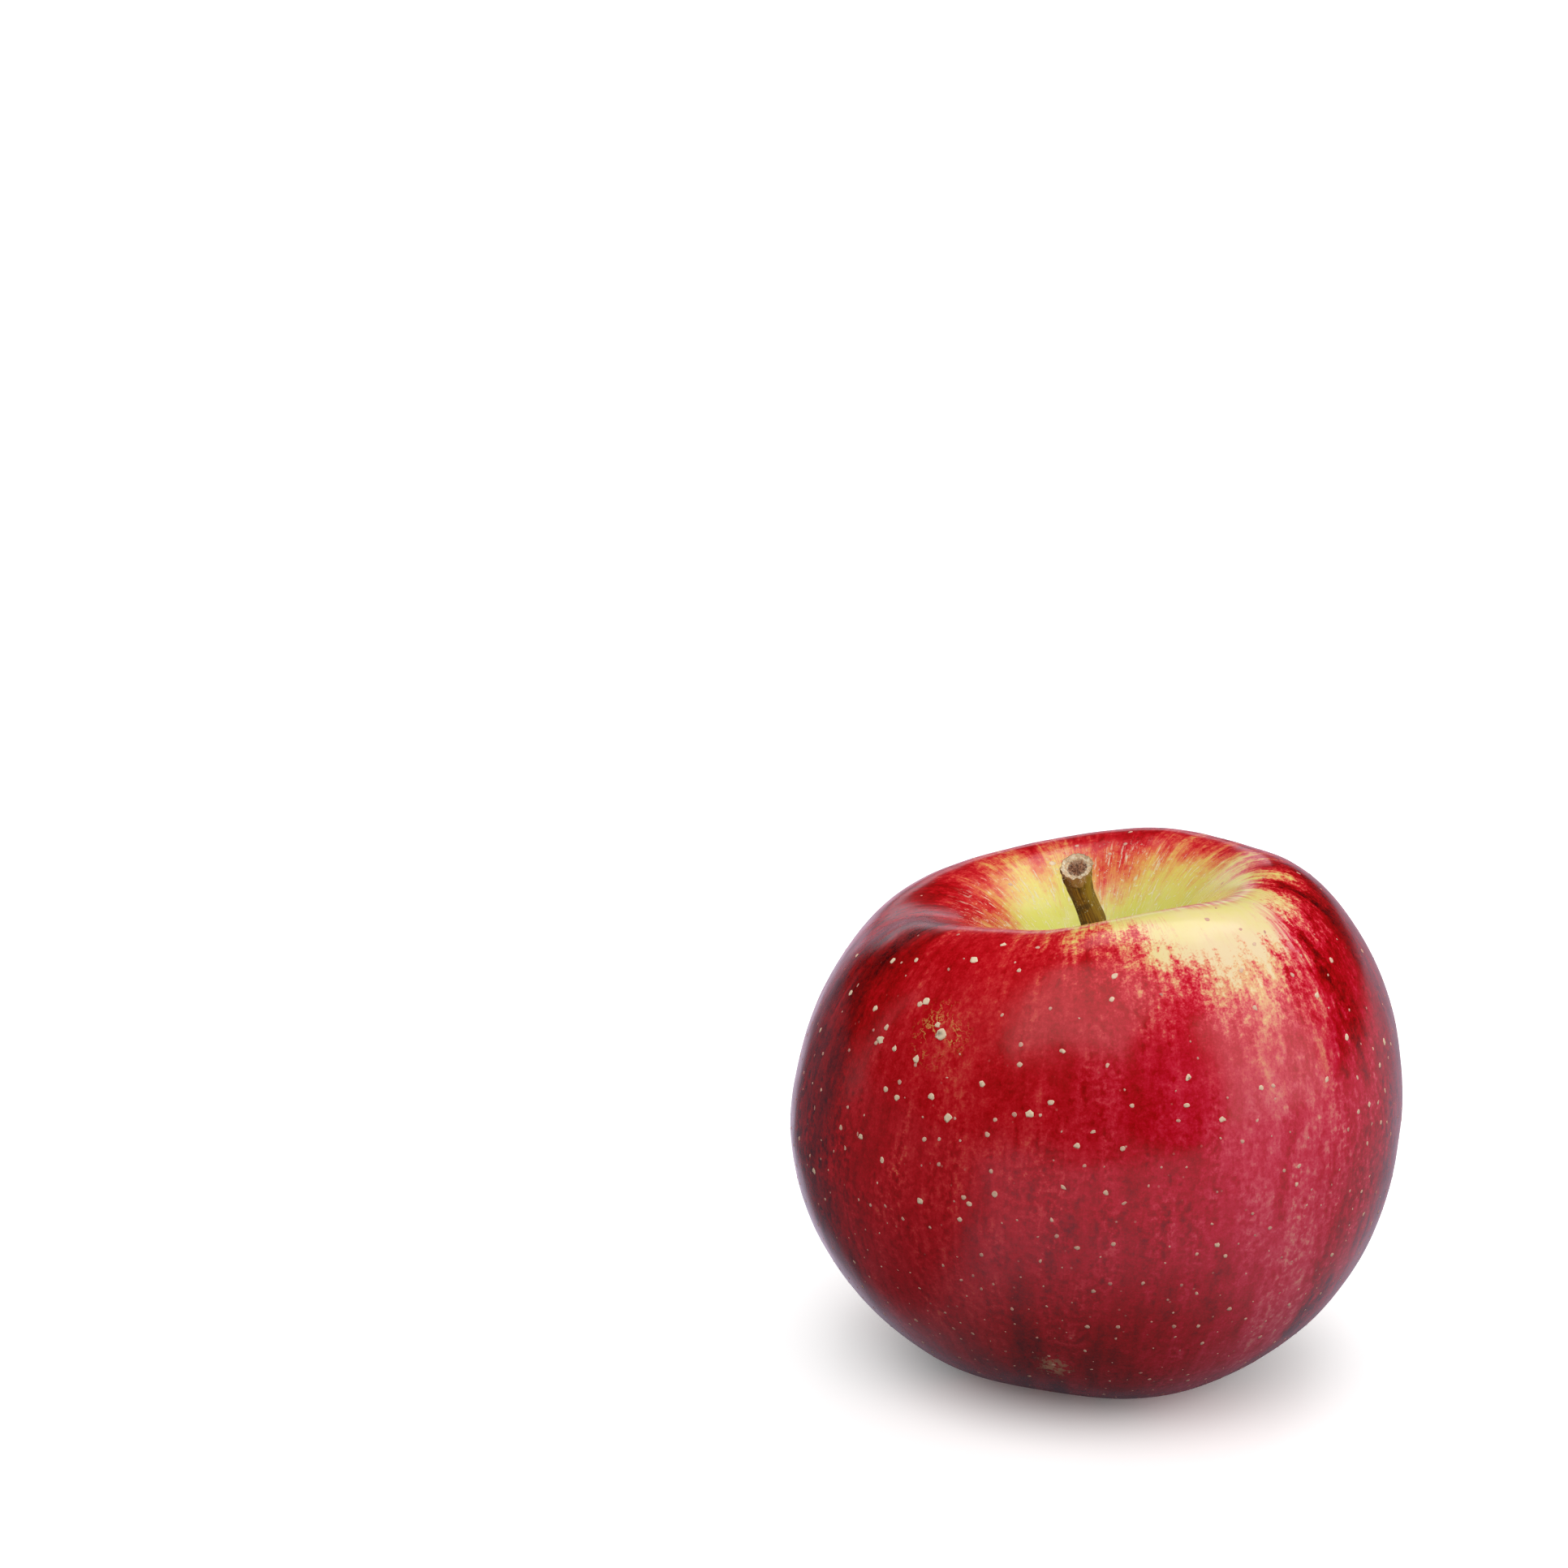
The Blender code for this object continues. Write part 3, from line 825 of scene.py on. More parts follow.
def skinMaterial():
    material, tree, shader = newMaterial("appleSkin")
    run = readAttribute(tree, "run").outputs["Fac"]
    turn = readAttribute(tree, "turn").outputs["Vector"]
    turned = partsOf(tree, turn)
    azimuth = calc(tree, "ARCTAN2", turned[1], turned[0])
    around = plus(tree, calc(tree, "DIVIDE", azimuth, math.tau), 0.5)
    inMm = stretch(tree, objectPlace(tree), (1.0 / mm, 1.0 / mm, 1.0 / mm))
    noises = makeNoises(tree, turn, run, inMm)
    down = {name: rise(tree, run, *ramp) for name, ramp in downSkin.items()}

    # Millimetres past the edge of the red, which the noises make ragged
    reach = calc(tree, "SUBTRACT", run, roundCurve(tree, around, redEdge, 60.0))
    reach = times(tree, reach, down["steeper"])
    for name, (amount, where) in edgeSwing.items():
        reach = plus(tree, reach, times(tree, swing(tree, noises[name], amount), down[where]))
    red = layRed(tree, turn, around, run, reach, noises, down)
    color = dye(tree, layGround(tree, turn, run, reach, noises, down), red)

    # Pale russet flecks and lines in the cavity
    flecks = rise(tree, noises["flecks"], 0.575, 0.64)
    crumbs = rise(tree, noises["crumbs"], 0.62, 0.67)
    fleckMask = times(tree, calc(tree, "MAXIMUM", flecks, crumbs), down["flecksFrom"], down["flecksTo"])
    color = mixColor(tree, times(tree, fleckMask, 0.85), color, skin["fleck"])

    # Tiny pale pores, plainer towards the bottom
    pores = addNode(tree, "ShaderNodeTexVoronoi", {"Vector": inMm, "Scale": skin["poresPerMm"]})
    poreMask = rise(tree, pores.outputs["Distance"], 0.085, 0.045)
    poreMask = times(tree, poreMask, down["porous"], down["poresTo"], 0.55)
    color = mixColor(tree, poreMask, color, skin["pore"])

    # Corky cracks round the largest pore, a corky star low on the front, and the russet basin
    offMiddle = calc(tree, "ABSOLUTE", calc(tree, "SUBTRACT", noises["wander"], 0.5))
    crackMask = times(tree, rise(tree, offMiddle, 0.030, 0.008), spot(tree, turn, run, *marks["cracks"]))
    crackMask = times(tree, crackMask, rise(tree, noises["mottle"], 0.40, 0.55))
    color = mixColor(tree, crackMask, color, skin["crack"])
    starArea = spot(tree, turn, run, *marks["star"])
    starSpeckle = plus(tree, noises["speckle"], times(tree, starArea, 0.15))
    starMask = times(tree, starArea, rise(tree, starSpeckle, 0.60, 0.68))
    color = mixColor(tree, times(tree, starMask, 0.8), color, skin["star"])
    wrinkled = times(tree, down["basin"], rise(tree, noises["wrinkles"], 0.45, 0.62))
    color = mixColor(tree, wrinkled, color, skin["russet"])

    corky = calc(tree, "MAXIMUM", fleckMask, crackMask)
    corky = calc(tree, "MAXIMUM", corky, calc(tree, "MAXIMUM", starMask, down["basin"]))
    sheen = plus(tree, swing(tree, noises["cloud"], 0.04), skin["roughness"], times(tree, corky, 0.35))
    relief = plus(
        tree,
        times(tree, noises["speckle"], 0.35),
        times(tree, corky, 0.5),
        times(tree, noises["fine"], 0.4),
    )
    shader.inputs["Specular IOR Level"].default_value = skin["specular"]
    finish(tree, shader, color, sheen, relief, skin["bumpDepth"], skin["bumpStrength"])
    return material


def makeFruit():
    values = {
        "Rows": fruit["rows"],
        "Sides": fruit["sides"],
        "Lump": fruit["lump"],
        "Rim Lump": fruit["rimLump"],
        "Material": skinMaterial(),
    }
    body = grow("appleFruit", profileMesh(), fruitTree(), values)
    carry(body, "skin", "fruit")
    return body


fruitBody = makeFruit()
print("fruit grown:", len(fruitBody.data.polygons), "faces")


# Lenticels, the corky breathing pores of the skin

lenticels = {
    "seed": 7,
    "spacing": 0.0020,  # least distance between two
    "density": 210000.0,  # per square metre where they are closest
    "smallest": 0.00013,
    "largest": 0.00038,
    "proud": 0.000035,
    "ragged": 0.00030,
    "raggedScale": 1900.0,
    "narrowest": 0.62,  # width as a share of the length
    "widest": 1.1,
    "segments": 10,
    "rings": 5,
    "spinSeed": 3,
    "widthSeed": 5,
    "smallDark": (0.66, 0.26, 0.22),
    "smallPale": (0.90, 0.55, 0.42),
    "large": (1.0, 0.80, 0.56),
    "crumb": (0.58, 0.34, 0.16),
    "specular": 0.3,
}

# the largest ones, listed one by one: azimuth in degrees, millimetres from the stem, radius in millimetres
largeLenticels = (
    (-129.0, 44.5, 0.85), (-130.5, 43.6, 0.45), (-136.0, 41.0, 0.60), (-137.5, 41.3, 0.40),
    (-151.0, 43.5, 0.50), (-145.0, 47.0, 0.65), (-146.0, 48.0, 0.35), (-128.0, 34.0, 0.60),
    (-156.0, 36.5, 0.50), (-165.0, 43.0, 0.45), (-140.0, 48.0, 0.45), (-133.5, 48.5, 0.55),
    (-136.0, 53.5, 0.45), (-123.0, 54.5, 0.55), (-117.0, 50.0, 0.45), (-107.0, 53.0, 0.50),
    (-98.0, 57.0, 0.40), (-90.0, 57.5, 0.35), (-122.0, 31.0, 0.40), (-114.0, 35.0, 0.35),
    (-111.0, 31.5, 0.30), (-147.0, 35.5, 0.40), (-144.0, 60.0, 0.45), (-127.0, 66.0, 0.45),
    (-118.0, 64.0, 0.35), (-160.0, 68.0, 0.45), (-172.0, 50.0, 0.40), (-69.0, 58.0, 0.32),
    (-58.0, 64.0, 0.36), (-62.0, 52.0, 0.30), (20.0, 42.0, 0.55), (31.0, 39.0, 0.42),
    (48.0, 46.0, 0.60), (66.0, 37.0, 0.45), (84.0, 44.0, 0.62), (99.0, 40.0, 0.40),
    (107.0, 52.0, 0.48), (131.0, 43.0, 0.55), (143.0, 37.5, 0.40), (158.0, 46.0, 0.50),
    (8.0, 55.0, 0.42), (74.0, 57.0, 0.44), (122.0, 61.0, 0.40), (97.0, 19.5, 0.35),
    (104.0, 22.5, 0.45), (128.0, 21.0, 0.35), (79.0, 22.0, 0.30), (73.0, 23.5, 0.32),
)


def lenticelTree():
    tree, given = newTree(
        "lenticels on the skin",
        (
            ("Skin", "Object"),
            ("Spacing", "Float"),
            ("Density", "Float"),
            ("Smallest", "Float"),
            ("Largest", "Float"),
            ("Proud", "Float"),
            ("Ragged", "Float"),
            ("Seed", "Int"),
            ("Material", "Material"),
        ),
    )
    surface = addNode(tree, "GeometryNodeObjectInfo", {"Object": given["Skin"]}).outputs["Geometry"]
    run = stored(tree, "run")

    # Few near the rim, more towards the bottom, none in the cavity and the basin
    dense = times(
        tree,
        rise(tree, run, 27.0, 95.0, 0.22, 1.0),
        rise(tree, run, 26.0, 30.0, 0.3, 1.0),
        rise(tree, run, 113.0, 106.0),
        rise(tree, run, 12.0, 16.0),
    )
    scattered = addNode(
        tree,
        "GeometryNodeDistributePointsOnFaces",
        {
            "Mesh": surface,
            "Distance Min": given["Spacing"],
            "Density Max": given["Density"],
            "Density Factor": dense,
            "Seed": given["Seed"],
        },
        distribute_method="POISSON",
    ).outputs["Points"]
    spread = calc(tree, "SUBTRACT", given["Largest"], given["Smallest"])
    share = calc(tree, "POWER", chance(tree, 0.0, 1.0, given["Seed"]), 2.0)
    size = plus(tree, given["Smallest"], times(tree, share, spread))
    sized = addNode(
        tree,
        "GeometryNodeStoreNamedAttribute",
        {"Geometry": scattered, "Name": "size"},
        data_type="FLOAT",
        domain="POINT",
    )
    plug(tree, sized.inputs["Value"], times(tree, size, rise(tree, run, 50.0, 105.0, 1.15, 0.72)))
    placed = addNode(tree, "GeometryNodeMeshToPoints", {"Mesh": given["Geometry"]}).outputs[0]
    nearest = addNode(tree, "GeometryNodeProximity", {0: surface}).outputs[0]
    snapped = addNode(tree, "GeometryNodeSetPosition", {"Geometry": placed, "Position": nearest})
    both = addNode(tree, "GeometryNodeJoinGeometry")
    tree.links.new(sized.outputs[0], both.inputs[0])
    tree.links.new(snapped.outputs[0], both.inputs[0])

    # Each one lies flat on the skin, turned at random and drawn out to an oval
    upright = addNode(tree, "FunctionNodeAlignRotationToVector", axis="Z")
    plug(tree, upright.inputs["Vector"], nearestNormal(tree, surface))
    spin = addNode(tree, "FunctionNodeEulerToRotation")
    plug(tree, spin.inputs[0], vectorOf(tree, z=chance(tree, 0.0, math.tau, lenticels["spinSeed"])))
    rotation = addNode(
        tree,
        "FunctionNodeRotateRotation",
        {"Rotation": upright.outputs[0], "Rotate By": spin.outputs[0]},
        rotation_space="LOCAL",
    )
    radius = stored(tree, "size")
    squeeze = chance(tree, lenticels["narrowest"], lenticels["widest"], lenticels["widthSeed"])
    blob = addNode(
        tree,
        "GeometryNodeMeshUVSphere",
        {"Segments": lenticels["segments"], "Rings": lenticels["rings"], "Radius": 1.0},
    )
    dotted = addNode(
        tree,
        "GeometryNodeInstanceOnPoints",
        {
            "Points": both.outputs[0],
            "Instance": blob.outputs[0],
            "Rotation": rotation.outputs[0],
            "Scale": vectorOf(tree, radius, times(tree, radius, squeeze), given["Proud"]),
        },
    )
    whole = addNode(tree, "GeometryNodeRealizeInstances", {"Geometry": dotted.outputs[0]})

    # Ragged outlines: each corner slides along the skin, never off it
    wander = addNode(tree, "ShaderNodeTexNoise", {"Vector": herePlace(tree), "Detail": 1.0})
    plug(tree, wander.inputs["Scale"], lenticels["raggedScale"])
    wander = calcVector(tree, "SUBTRACT", wander.outputs["Color"], (0.5, 0.5, 0.5))
    under = nearestNormal(tree, surface)
    lifted = calcVector(tree, "DOT_PRODUCT", wander, under)
    lift = calcVector(tree, "MULTIPLY", under, vectorOf(tree, lifted, lifted, lifted))
    flat = calcVector(tree, "SUBTRACT", wander, lift)
    reach = times(tree, given["Ragged"], rise(tree, radius, 0.0001, 0.0007, 0.6, 3.2))
    slide = calcVector(tree, "MULTIPLY", flat, vectorOf(tree, reach, reach, reach))
    ragged = addNode(tree, "GeometryNodeSetPosition", {"Geometry": whole.outputs[0], "Offset": slide})
    endTree(tree, ragged.outputs[0], given["Material"])
    return tree


def lenticelMaterial():
    material, tree, shader = newMaterial("lenticelCork")
    size = readAttribute(tree, "size").outputs["Fac"]
    place = objectPlace(tree)
    patchy = grain(tree, place, 260.0, 2.0)
    crumbs = grain(tree, place, 3500.0, 2.0, 0.7)
    small = mixColor(tree, rise(tree, patchy, 0.35, 0.65), lenticels["smallDark"], lenticels["smallPale"])
    color = mixColor(tree, rise(tree, size, 0.00022, 0.00050), small, lenticels["large"])
    color = mixColor(tree, rise(tree, crumbs, 0.50, 0.75, 0.0, 0.45), color, lenticels["crumb"])
    shader.inputs["Specular IOR Level"].default_value = lenticels["specular"]
    finish(tree, shader, color, rise(tree, crumbs, 0.3, 0.7, 0.55, 0.75), crumbs, 0.00004, 0.6)
    return material


def makeLenticels():
    mesh = bpy.data.meshes.new("largeLenticels")
    mesh.from_pydata([skinPlace(azimuth, run) for azimuth, run, _ in largeLenticels], [], [])
    sizes = [radius * mm for _, _, radius in largeLenticels]
    mesh.attributes.new("size", "FLOAT", "POINT").data.foreach_set("value", sizes)
    values = {
        "Skin": fruitBody,
        "Spacing": lenticels["spacing"],
        "Density": lenticels["density"],
        "Smallest": lenticels["smallest"],
        "Largest": lenticels["largest"],
        "Proud": lenticels["proud"],
        "Ragged": lenticels["ragged"],
        "Seed": lenticels["seed"],
        "Material": lenticelMaterial(),
    }
    pores = grow("lenticels", mesh, lenticelTree(), values)
    carry(pores, "skin")
    return pores


lenticelPiece = makeLenticels()
print("lenticels set:", len(lenticelPiece.data.polygons), "faces")


# The stem: bark with lengthwise ridges, and a torn, dried end

stem = {
    "footGap": 0.3,
    "tip": (-2.9, -4.0, 67.6),
    "bendFrom": 0.45,
    "leanPower": 1.7,
    "cutNormal": (-0.25, -0.55, 0.80),
    "cutFrom": 0.70,  # share of the length where it starts to turn towards the cut
    "flareFrom": 0.86,
    "rows": 150,
    "sides": 84,
    "cutRows": 26,
    "ridge": 0.055,  # share of the radius
    "rimWaver": 0.10,
    "rimShare": 0.68,  # inner edge of the torn ring
    "hollowDepth": 0.60,
    "torn": 0.24,  # how uneven the ring is
}

# share of the length, radius
stemSections = (
    (0.00, 1.85), (0.12, 1.88), (0.28, 1.86), (0.44, 1.80), (0.58, 1.72), (0.70, 1.60),
    (0.79, 1.58), (0.87, 1.76), (0.94, 2.08), (0.98, 2.22), (1.00, 2.20),
)

bark = {
    "dark": (0.125, 0.050, 0.010),
    "olive": (0.40, 0.195, 0.026),
    "stain": (0.052, 0.022, 0.012),
    # painted light and painted shade for the two sides of the stem
    "paintedLitSide": (0.36, 0.225, 0.022),
    "shaded": (0.045, 0.022, 0.012),
    "dust": (0.66, 0.60, 0.46),
    "foot": (0.28, 0.20, 0.06),
    "skirt": (0.50, 0.27, 0.12),  # just under the torn end
    "ringDark": (0.88, 0.58, 0.32),
    "ringPale": (1.0, 0.92, 0.70),
    "hollowDark": (0.075, 0.022, 0.012),
    "hollowRed": (0.72, 0.36, 0.20),
    "hollowPale": (0.90, 0.62, 0.42),
    "specular": 0.35,
    "bumpDepth": 0.00020,
    "bumpStrength": 0.9,
}


def stemMiddle(share):
    foot = fruit["height"] - fruit["cavityDepth"] - fruit["socketDepth"] + stem["footGap"]
    x, y, top = stem["tip"]
    lean = smoothStep((share - stem["bendFrom"]) / (1.0 - stem["bendFrom"]))
    return Vector((x * lean, y * max(share, 0.0) ** stem["leanPower"], foot + (top - foot) * share))


def stemFacing(share):
    along = stemMiddle(min(share + 0.01, 1.0)) - stemMiddle(max(share - 0.01, 0.0))
    turned = max(share - stem["cutFrom"], 0.0) / (1.0 - stem["cutFrom"])
    return along.normalized().lerp(Vector(stem["cutNormal"]).normalized(), turned).normalized()


def stemRadius(share):
    for (low, first), (high, second) in zip(stemSections, stemSections[1:]):
        if share <= high:
            return first + (second - first) * smoothStep((share - low) / (high - low))
    return stemSections[-1][1]


def ridges(angle, share):
    around = aroundAt(angle)
    coarse = noise.noise(around * 3.4 + Vector((0.0, 0.0, share * 2.2)))
    small = noise.noise(around * 9.0 + Vector((5.0, 0.0, share * 5.0)))
    knobs = noise.noise(around * 2.2 + Vector((9.0, 3.0, share * 11.0)))
    return 1.0 + stem["ridge"] * (coarse + 0.55 * small + 0.6 * knobs) - 0.6 * stem["ridge"]


def barkOut(angle, share, flare):
    # the bark's outline as a share of its radius, more uneven where it flares out
    waver = noise.noise(aroundAt(angle) * 4.6 + Vector((2.0, 7.0, share * 9.0)))
    return ridges(angle, share) * (1.0 - stem["rimWaver"] * flare * (0.5 - waver))


def cutOut(angle, share):
    # the same on the torn end, rounder towards the middle
    wavy = noise.noise(aroundAt(angle) * 3.1 + Vector((8.0, 1.0, 0.0)))
    return share * (barkOut(angle, 1.0, 1.0) * share + (1.0 + stem["rimWaver"] * wavy) * (1.0 - share))


def tornHeight(angle, share):
    around = aroundAt(angle)
    big = noise.noise(around * 2.6 + Vector((1.0, 4.0, share * 3.0)))
    small = noise.noise(around * 8.5 + Vector((6.0, 2.0, share * 8.0)))
    return stem["torn"] * (big + 0.8 * small) - 0.8 * stem["torn"]


def cutHeight(angle, share, inner, crown):
    around = aroundAt(angle)
    fibre = noise.noise(around * (7.0 * share + 1.0) + Vector((3.0, 8.0, share * 4.0)))
    rough = noise.noise(around * 5.0 * share + Vector((1.0, 1.0, share * 12.0)))
    hollow = -stem["hollowDepth"] * inner * (1.0 + 0.55 * fibre + 0.35 * rough)
    return tornHeight(angle, share) * crown * (1.0 - inner) + hollow


def makeStem():
    places = []
    cuts = []
    barks = []  # cosine and sine round the stem, and the share of its length
    rings = []
    angles = [math.tau * step / stem["sides"] for step in range(stem["sides"])]

    def addRing(middle, facing, radii, lengths, cut, lastMark):
        right = (Vector((1.0, 0.0, 0.0)) - facing * facing.x).normalized()
        front = facing.cross(right)
        rings.append(range(len(places), len(places) + len(angles)))
        for angle, radius, length in zip(angles, radii, lengths):
            place = middle + radius * (right * math.cos(angle) + front * math.sin(angle))
            places.append((place + facing * length) * mm)
            cuts.append(cut)
            barks.append((math.cos(angle), math.sin(angle), radius if lastMark is None else lastMark))

    for row in range(stem["rows"]):
        share = row / (stem["rows"] - 1)
        flare = smoothStep((share - stem["flareFrom"]) / (1.0 - stem["flareFrom"]))
        radii = [stemRadius(share) * barkOut(angle, share, flare) for angle in angles]
        addRing(stemMiddle(share), stemFacing(share), radii, [0.0] * len(angles), 0.0, share)
    facing = Vector(stem["cutNormal"]).normalized()
    top = stemMiddle(1.0)
    for row in range(1, stem["cutRows"]):
        share = 1.0 - row / stem["cutRows"]
        inner = smoothStep((stem["rimShare"] - share) / 0.16)
        crown = smoothStep((1.0 - share) / 0.08)
        radii = [stemRadius(1.0) * cutOut(angle, share) for angle in angles]
        heights = [cutHeight(angle, share, inner, crown) for angle in angles]
        addRing(top, facing, radii, heights, 0.5 + 0.5 * inner, None)
    faces = []
    for lower, upper in zip(rings, rings[1:]):
        for step in range(len(angles)):
            after = (step + 1) % len(angles)
            faces.append((lower[step], lower[after], upper[after], upper[step]))
    faces.append(tuple(reversed(rings[0])))
    middle = len(places)
    places.append((top - facing * stem["hollowDepth"] * 1.1) * mm)
    cuts.append(1.0)
    barks.append((0.0, 0.0, 0.0))
    for step in range(len(angles)):
        faces.append((rings[-1][step], rings[-1][(step + 1) % len(angles)], middle))
    mesh = bpy.data.meshes.new("appleStem")
    mesh.from_pydata(places, [], faces)
    mesh.attributes.new("cut", "FLOAT", "POINT").data.foreach_set("value", cuts)
    flatBarks = [number for mark in barks for number in mark]
    mesh.attributes.new("bark", "FLOAT_VECTOR", "POINT").data.foreach_set("vector", flatBarks)
    mesh.shade_smooth()
    mesh.materials.append(stemMaterial())
    piece = addObject("appleStem", mesh)
    carry(piece, "stem", "stem")
    return piece


def stemMaterial():
    material, tree, shader = newMaterial("stemBark")
    cut = readAttribute(tree, "cut").outputs["Fac"]
    onBark = readAttribute(tree, "bark").outputs["Vector"]
    place = objectPlace(tree)
    toSide = partsOf(tree, onBark)[0]
    share = partsOf(tree, onBark)[2]
    streaks = grain(tree, stretch(tree, onBark, (7.0, 7.0, 3.0)), 1.0, 4.0, 0.65)
    fibrous = grain(tree, stretch(tree, onBark, (9.0, 9.0, 1.0)), 1.0, 3.0, 0.7)
    blotches = grain(tree, place, 620.0, 3.0, 0.6)
    crumbs = grain(tree, place, 3200.0, 3.0, 0.7)

    # Bark: olive and dark in streaks, stained in patches; painted light on the upper part of the side
    # towards +x, painted shade, nearly black, on the side towards -x; dusty in patches
    color = mixColor(tree, rise(tree, streaks, 0.36, 0.62), bark["dark"], bark["olive"])
    color = mixColor(tree, rise(tree, blotches, 0.48, 0.66, 0.0, 0.7), color, bark["stain"])
    paintedLitSide = times(tree, rise(tree, toSide, 0.0, 0.9), rise(tree, share, 0.50, 0.80))
    color = mixColor(tree, times(tree, paintedLitSide, rise(tree, streaks, 0.35, 0.55)), color, bark["paintedLitSide"])
    color = mixColor(tree, rise(tree, toSide, -0.2, -0.9, 0.0, 0.6), color, bark["shaded"])
    dust = addNode(tree, "ShaderNodeTexVoronoi", {"Vector": place, "Scale": 2600.0}).outputs["Distance"]
    dusty = times(tree, rise(tree, dust, 0.34, 0.20), rise(tree, blotches, 0.46, 0.60))
    dusty = times(tree, dusty, rise(tree, crumbs, 0.40, 0.55), 0.75)
    color = mixColor(tree, dusty, color, bark["dust"])
    color = mixColor(tree, times(tree, rise(tree, share, 0.32, 0.05), 0.55), color, bark["foot"])
    uneven = plus(tree, share, swing(tree, blotches, 0.10))
    color = mixColor(tree, rise(tree, uneven, 0.955, 1.02, 0.0, 0.80), color, bark["skirt"])

    # Torn ring of dry wood, and the brown fibres of the hollow
    ring = mixColor(tree, rise(tree, crumbs, 0.35, 0.66), bark["ringDark"], bark["ringPale"])
    hollow = mixColor(tree, rise(tree, fibrous, 0.40, 0.62), bark["hollowDark"], bark["hollowRed"])
    hollow = mixColor(tree, rise(tree, blotches, 0.46, 0.64, 0.0, 0.8), hollow, bark["hollowPale"])
    color = mixColor(tree, rise(tree, cut, 0.02, 0.42), color, ring)
    color = mixColor(tree, rise(tree, cut, 0.56, 0.92), color, hollow)
    relief = plus(tree, times(tree, streaks, 0.8), times(tree, crumbs, 0.5))
    roughness = rise(tree, streaks, 0.3, 0.7, 0.50, 0.72)
    shader.inputs["Specular IOR Level"].default_value = bark["specular"]
    finish(tree, shader, color, roughness, relief, bark["bumpDepth"], bark["bumpStrength"])
    return material


stemPiece = makeStem()
print("stem made:", len(stemPiece.data.polygons), "faces")


# Loose fibres: a pale fuzz low on the stem, and splinters round its torn end

fibres = {
    "density": 26e6,  # per square metre where they are thickest
    "length": 0.00042,
    "thickness": 0.000028,
    "shortest": 0.45,  # share of the length
    "longest": 1.25,
    "tilt": 1.15,
    "seed": 4,
    "tiltSeed": 6,
    "thinningSeed": 9,
    "lengthSeed": 12,
    "ringAmount": 0.55,
    "edgeAmount": 0.30,
    "footAmount": 0.22,
    "lowRightAmount": 0.85,
    "dark": (0.62, 0.44, 0.26),
    "pale": (0.92, 0.84, 0.70),
}


def fibreTree():
    tree, given = newTree(
        "loose fibres",
        (
            ("Density", "Float"),
            ("Length", "Float"),
            ("Thickness", "Float"),
            ("Seed", "Int"),
            ("Material", "Material"),
        ),
    )
    scattered = addNode(
        tree,
        "GeometryNodeDistributePointsOnFaces",
        {"Mesh": given["Geometry"], "Density": given["Density"], "Seed": given["Seed"]},
        distribute_method="RANDOM",
    )
    draw = chance(tree, 0.02, 1.0, fibres["thinningSeed"])
    tooMany = calc(tree, "GREATER_THAN", draw, stored(tree, "hairy"))
    thinned = addNode(
        tree,
        "GeometryNodeDeleteGeometry",
        {"Geometry": scattered.outputs["Points"], "Selection": tooMany},
        domain="POINT",
    )
    cone = addNode(
        tree,
        "GeometryNodeMeshCone",
        {"Vertices": 4, "Radius Top": 0.2, "Radius Bottom": 1.0, "Depth": 1.0},
    )
    tilt = fibres["tilt"]
    tilts = chanceVector(tree, (-tilt, -tilt, 0.0), (tilt, tilt, math.tau), fibres["tiltSeed"])
    tilted = addNode(
        tree,
        "FunctionNodeRotateRotation",
        {"Rotation": scattered.outputs["Rotation"], "Rotate By": tilts},
        rotation_space="LOCAL",
    )
    share = chance(tree, fibres["shortest"], fibres["longest"], fibres["lengthSeed"])
    length = times(tree, given["Length"], share)
    fuzz = addNode(
        tree,
        "GeometryNodeInstanceOnPoints",
        {
            "Points": thinned.outputs[0],
            "Instance": cone.outputs[0],
            "Rotation": tilted.outputs[0],
            "Scale": vectorOf(tree, given["Thickness"], given["Thickness"], length),
        },
    )
    endTree(tree, fuzz.outputs[0], given["Material"])
    return tree


def fibreMaterial():
    material, tree, shader = newMaterial("looseFibre")
    patchy = grain(tree, objectPlace(tree), 1500.0, 2.0)
    color = mixColor(tree, rise(tree, patchy, 0.35, 0.65), fibres["dark"], fibres["pale"])
    finish(tree, shader, color, rise(tree, patchy, 0.3, 0.7, 0.6, 0.8), patchy, 0.00002, 0.5)
    return material


def hairiness(toSide, toFront, share, cut):
    # the share of fibres that stay: most on the torn ring, some by its edge, low down and at the foot
    torn = fibres["edgeAmount"] * smoothStep((share - 0.93) / 0.06)
    if cut > 0.0:
        return fibres["ringAmount"] if 0.4 < cut < 0.8 else torn
    foot = fibres["footAmount"] * smoothStep((0.40 - share) / 0.16)
    band = smoothStep((0.62 - share) / 0.16) * smoothStep((share - 0.28) / 0.1)
    lowRight = fibres["lowRightAmount"] * max(toSide * 0.85 - toFront * 0.5, 0.0) * band
    return max(lowRight, foot, torn)


def makeFibres():
    mesh = stemPiece.data.copy()
    onBark = [tuple(item.vector) for item in mesh.attributes["bark"].data]
    cuts = [item.value for item in mesh.attributes["cut"].data]
    hairy = [hairiness(*mark, cut) for mark, cut in zip(onBark, cuts)]
    mesh.attributes.new("hairy", "FLOAT", "POINT").data.foreach_set("value", hairy)
    values = {
        "Density": fibres["density"],
        "Length": fibres["length"],
        "Thickness": fibres["thickness"],
        "Seed": fibres["seed"],
        "Material": fibreMaterial(),
    }
    piece = grow("stemFibres", mesh, fibreTree(), values)
    carry(piece, "stem")
    return piece


fibrePiece = makeFibres()
print("fibres grown:", len(fibrePiece.data.polygons), "faces")


# The dried calyx underneath: five curled sepals and the stamens between them

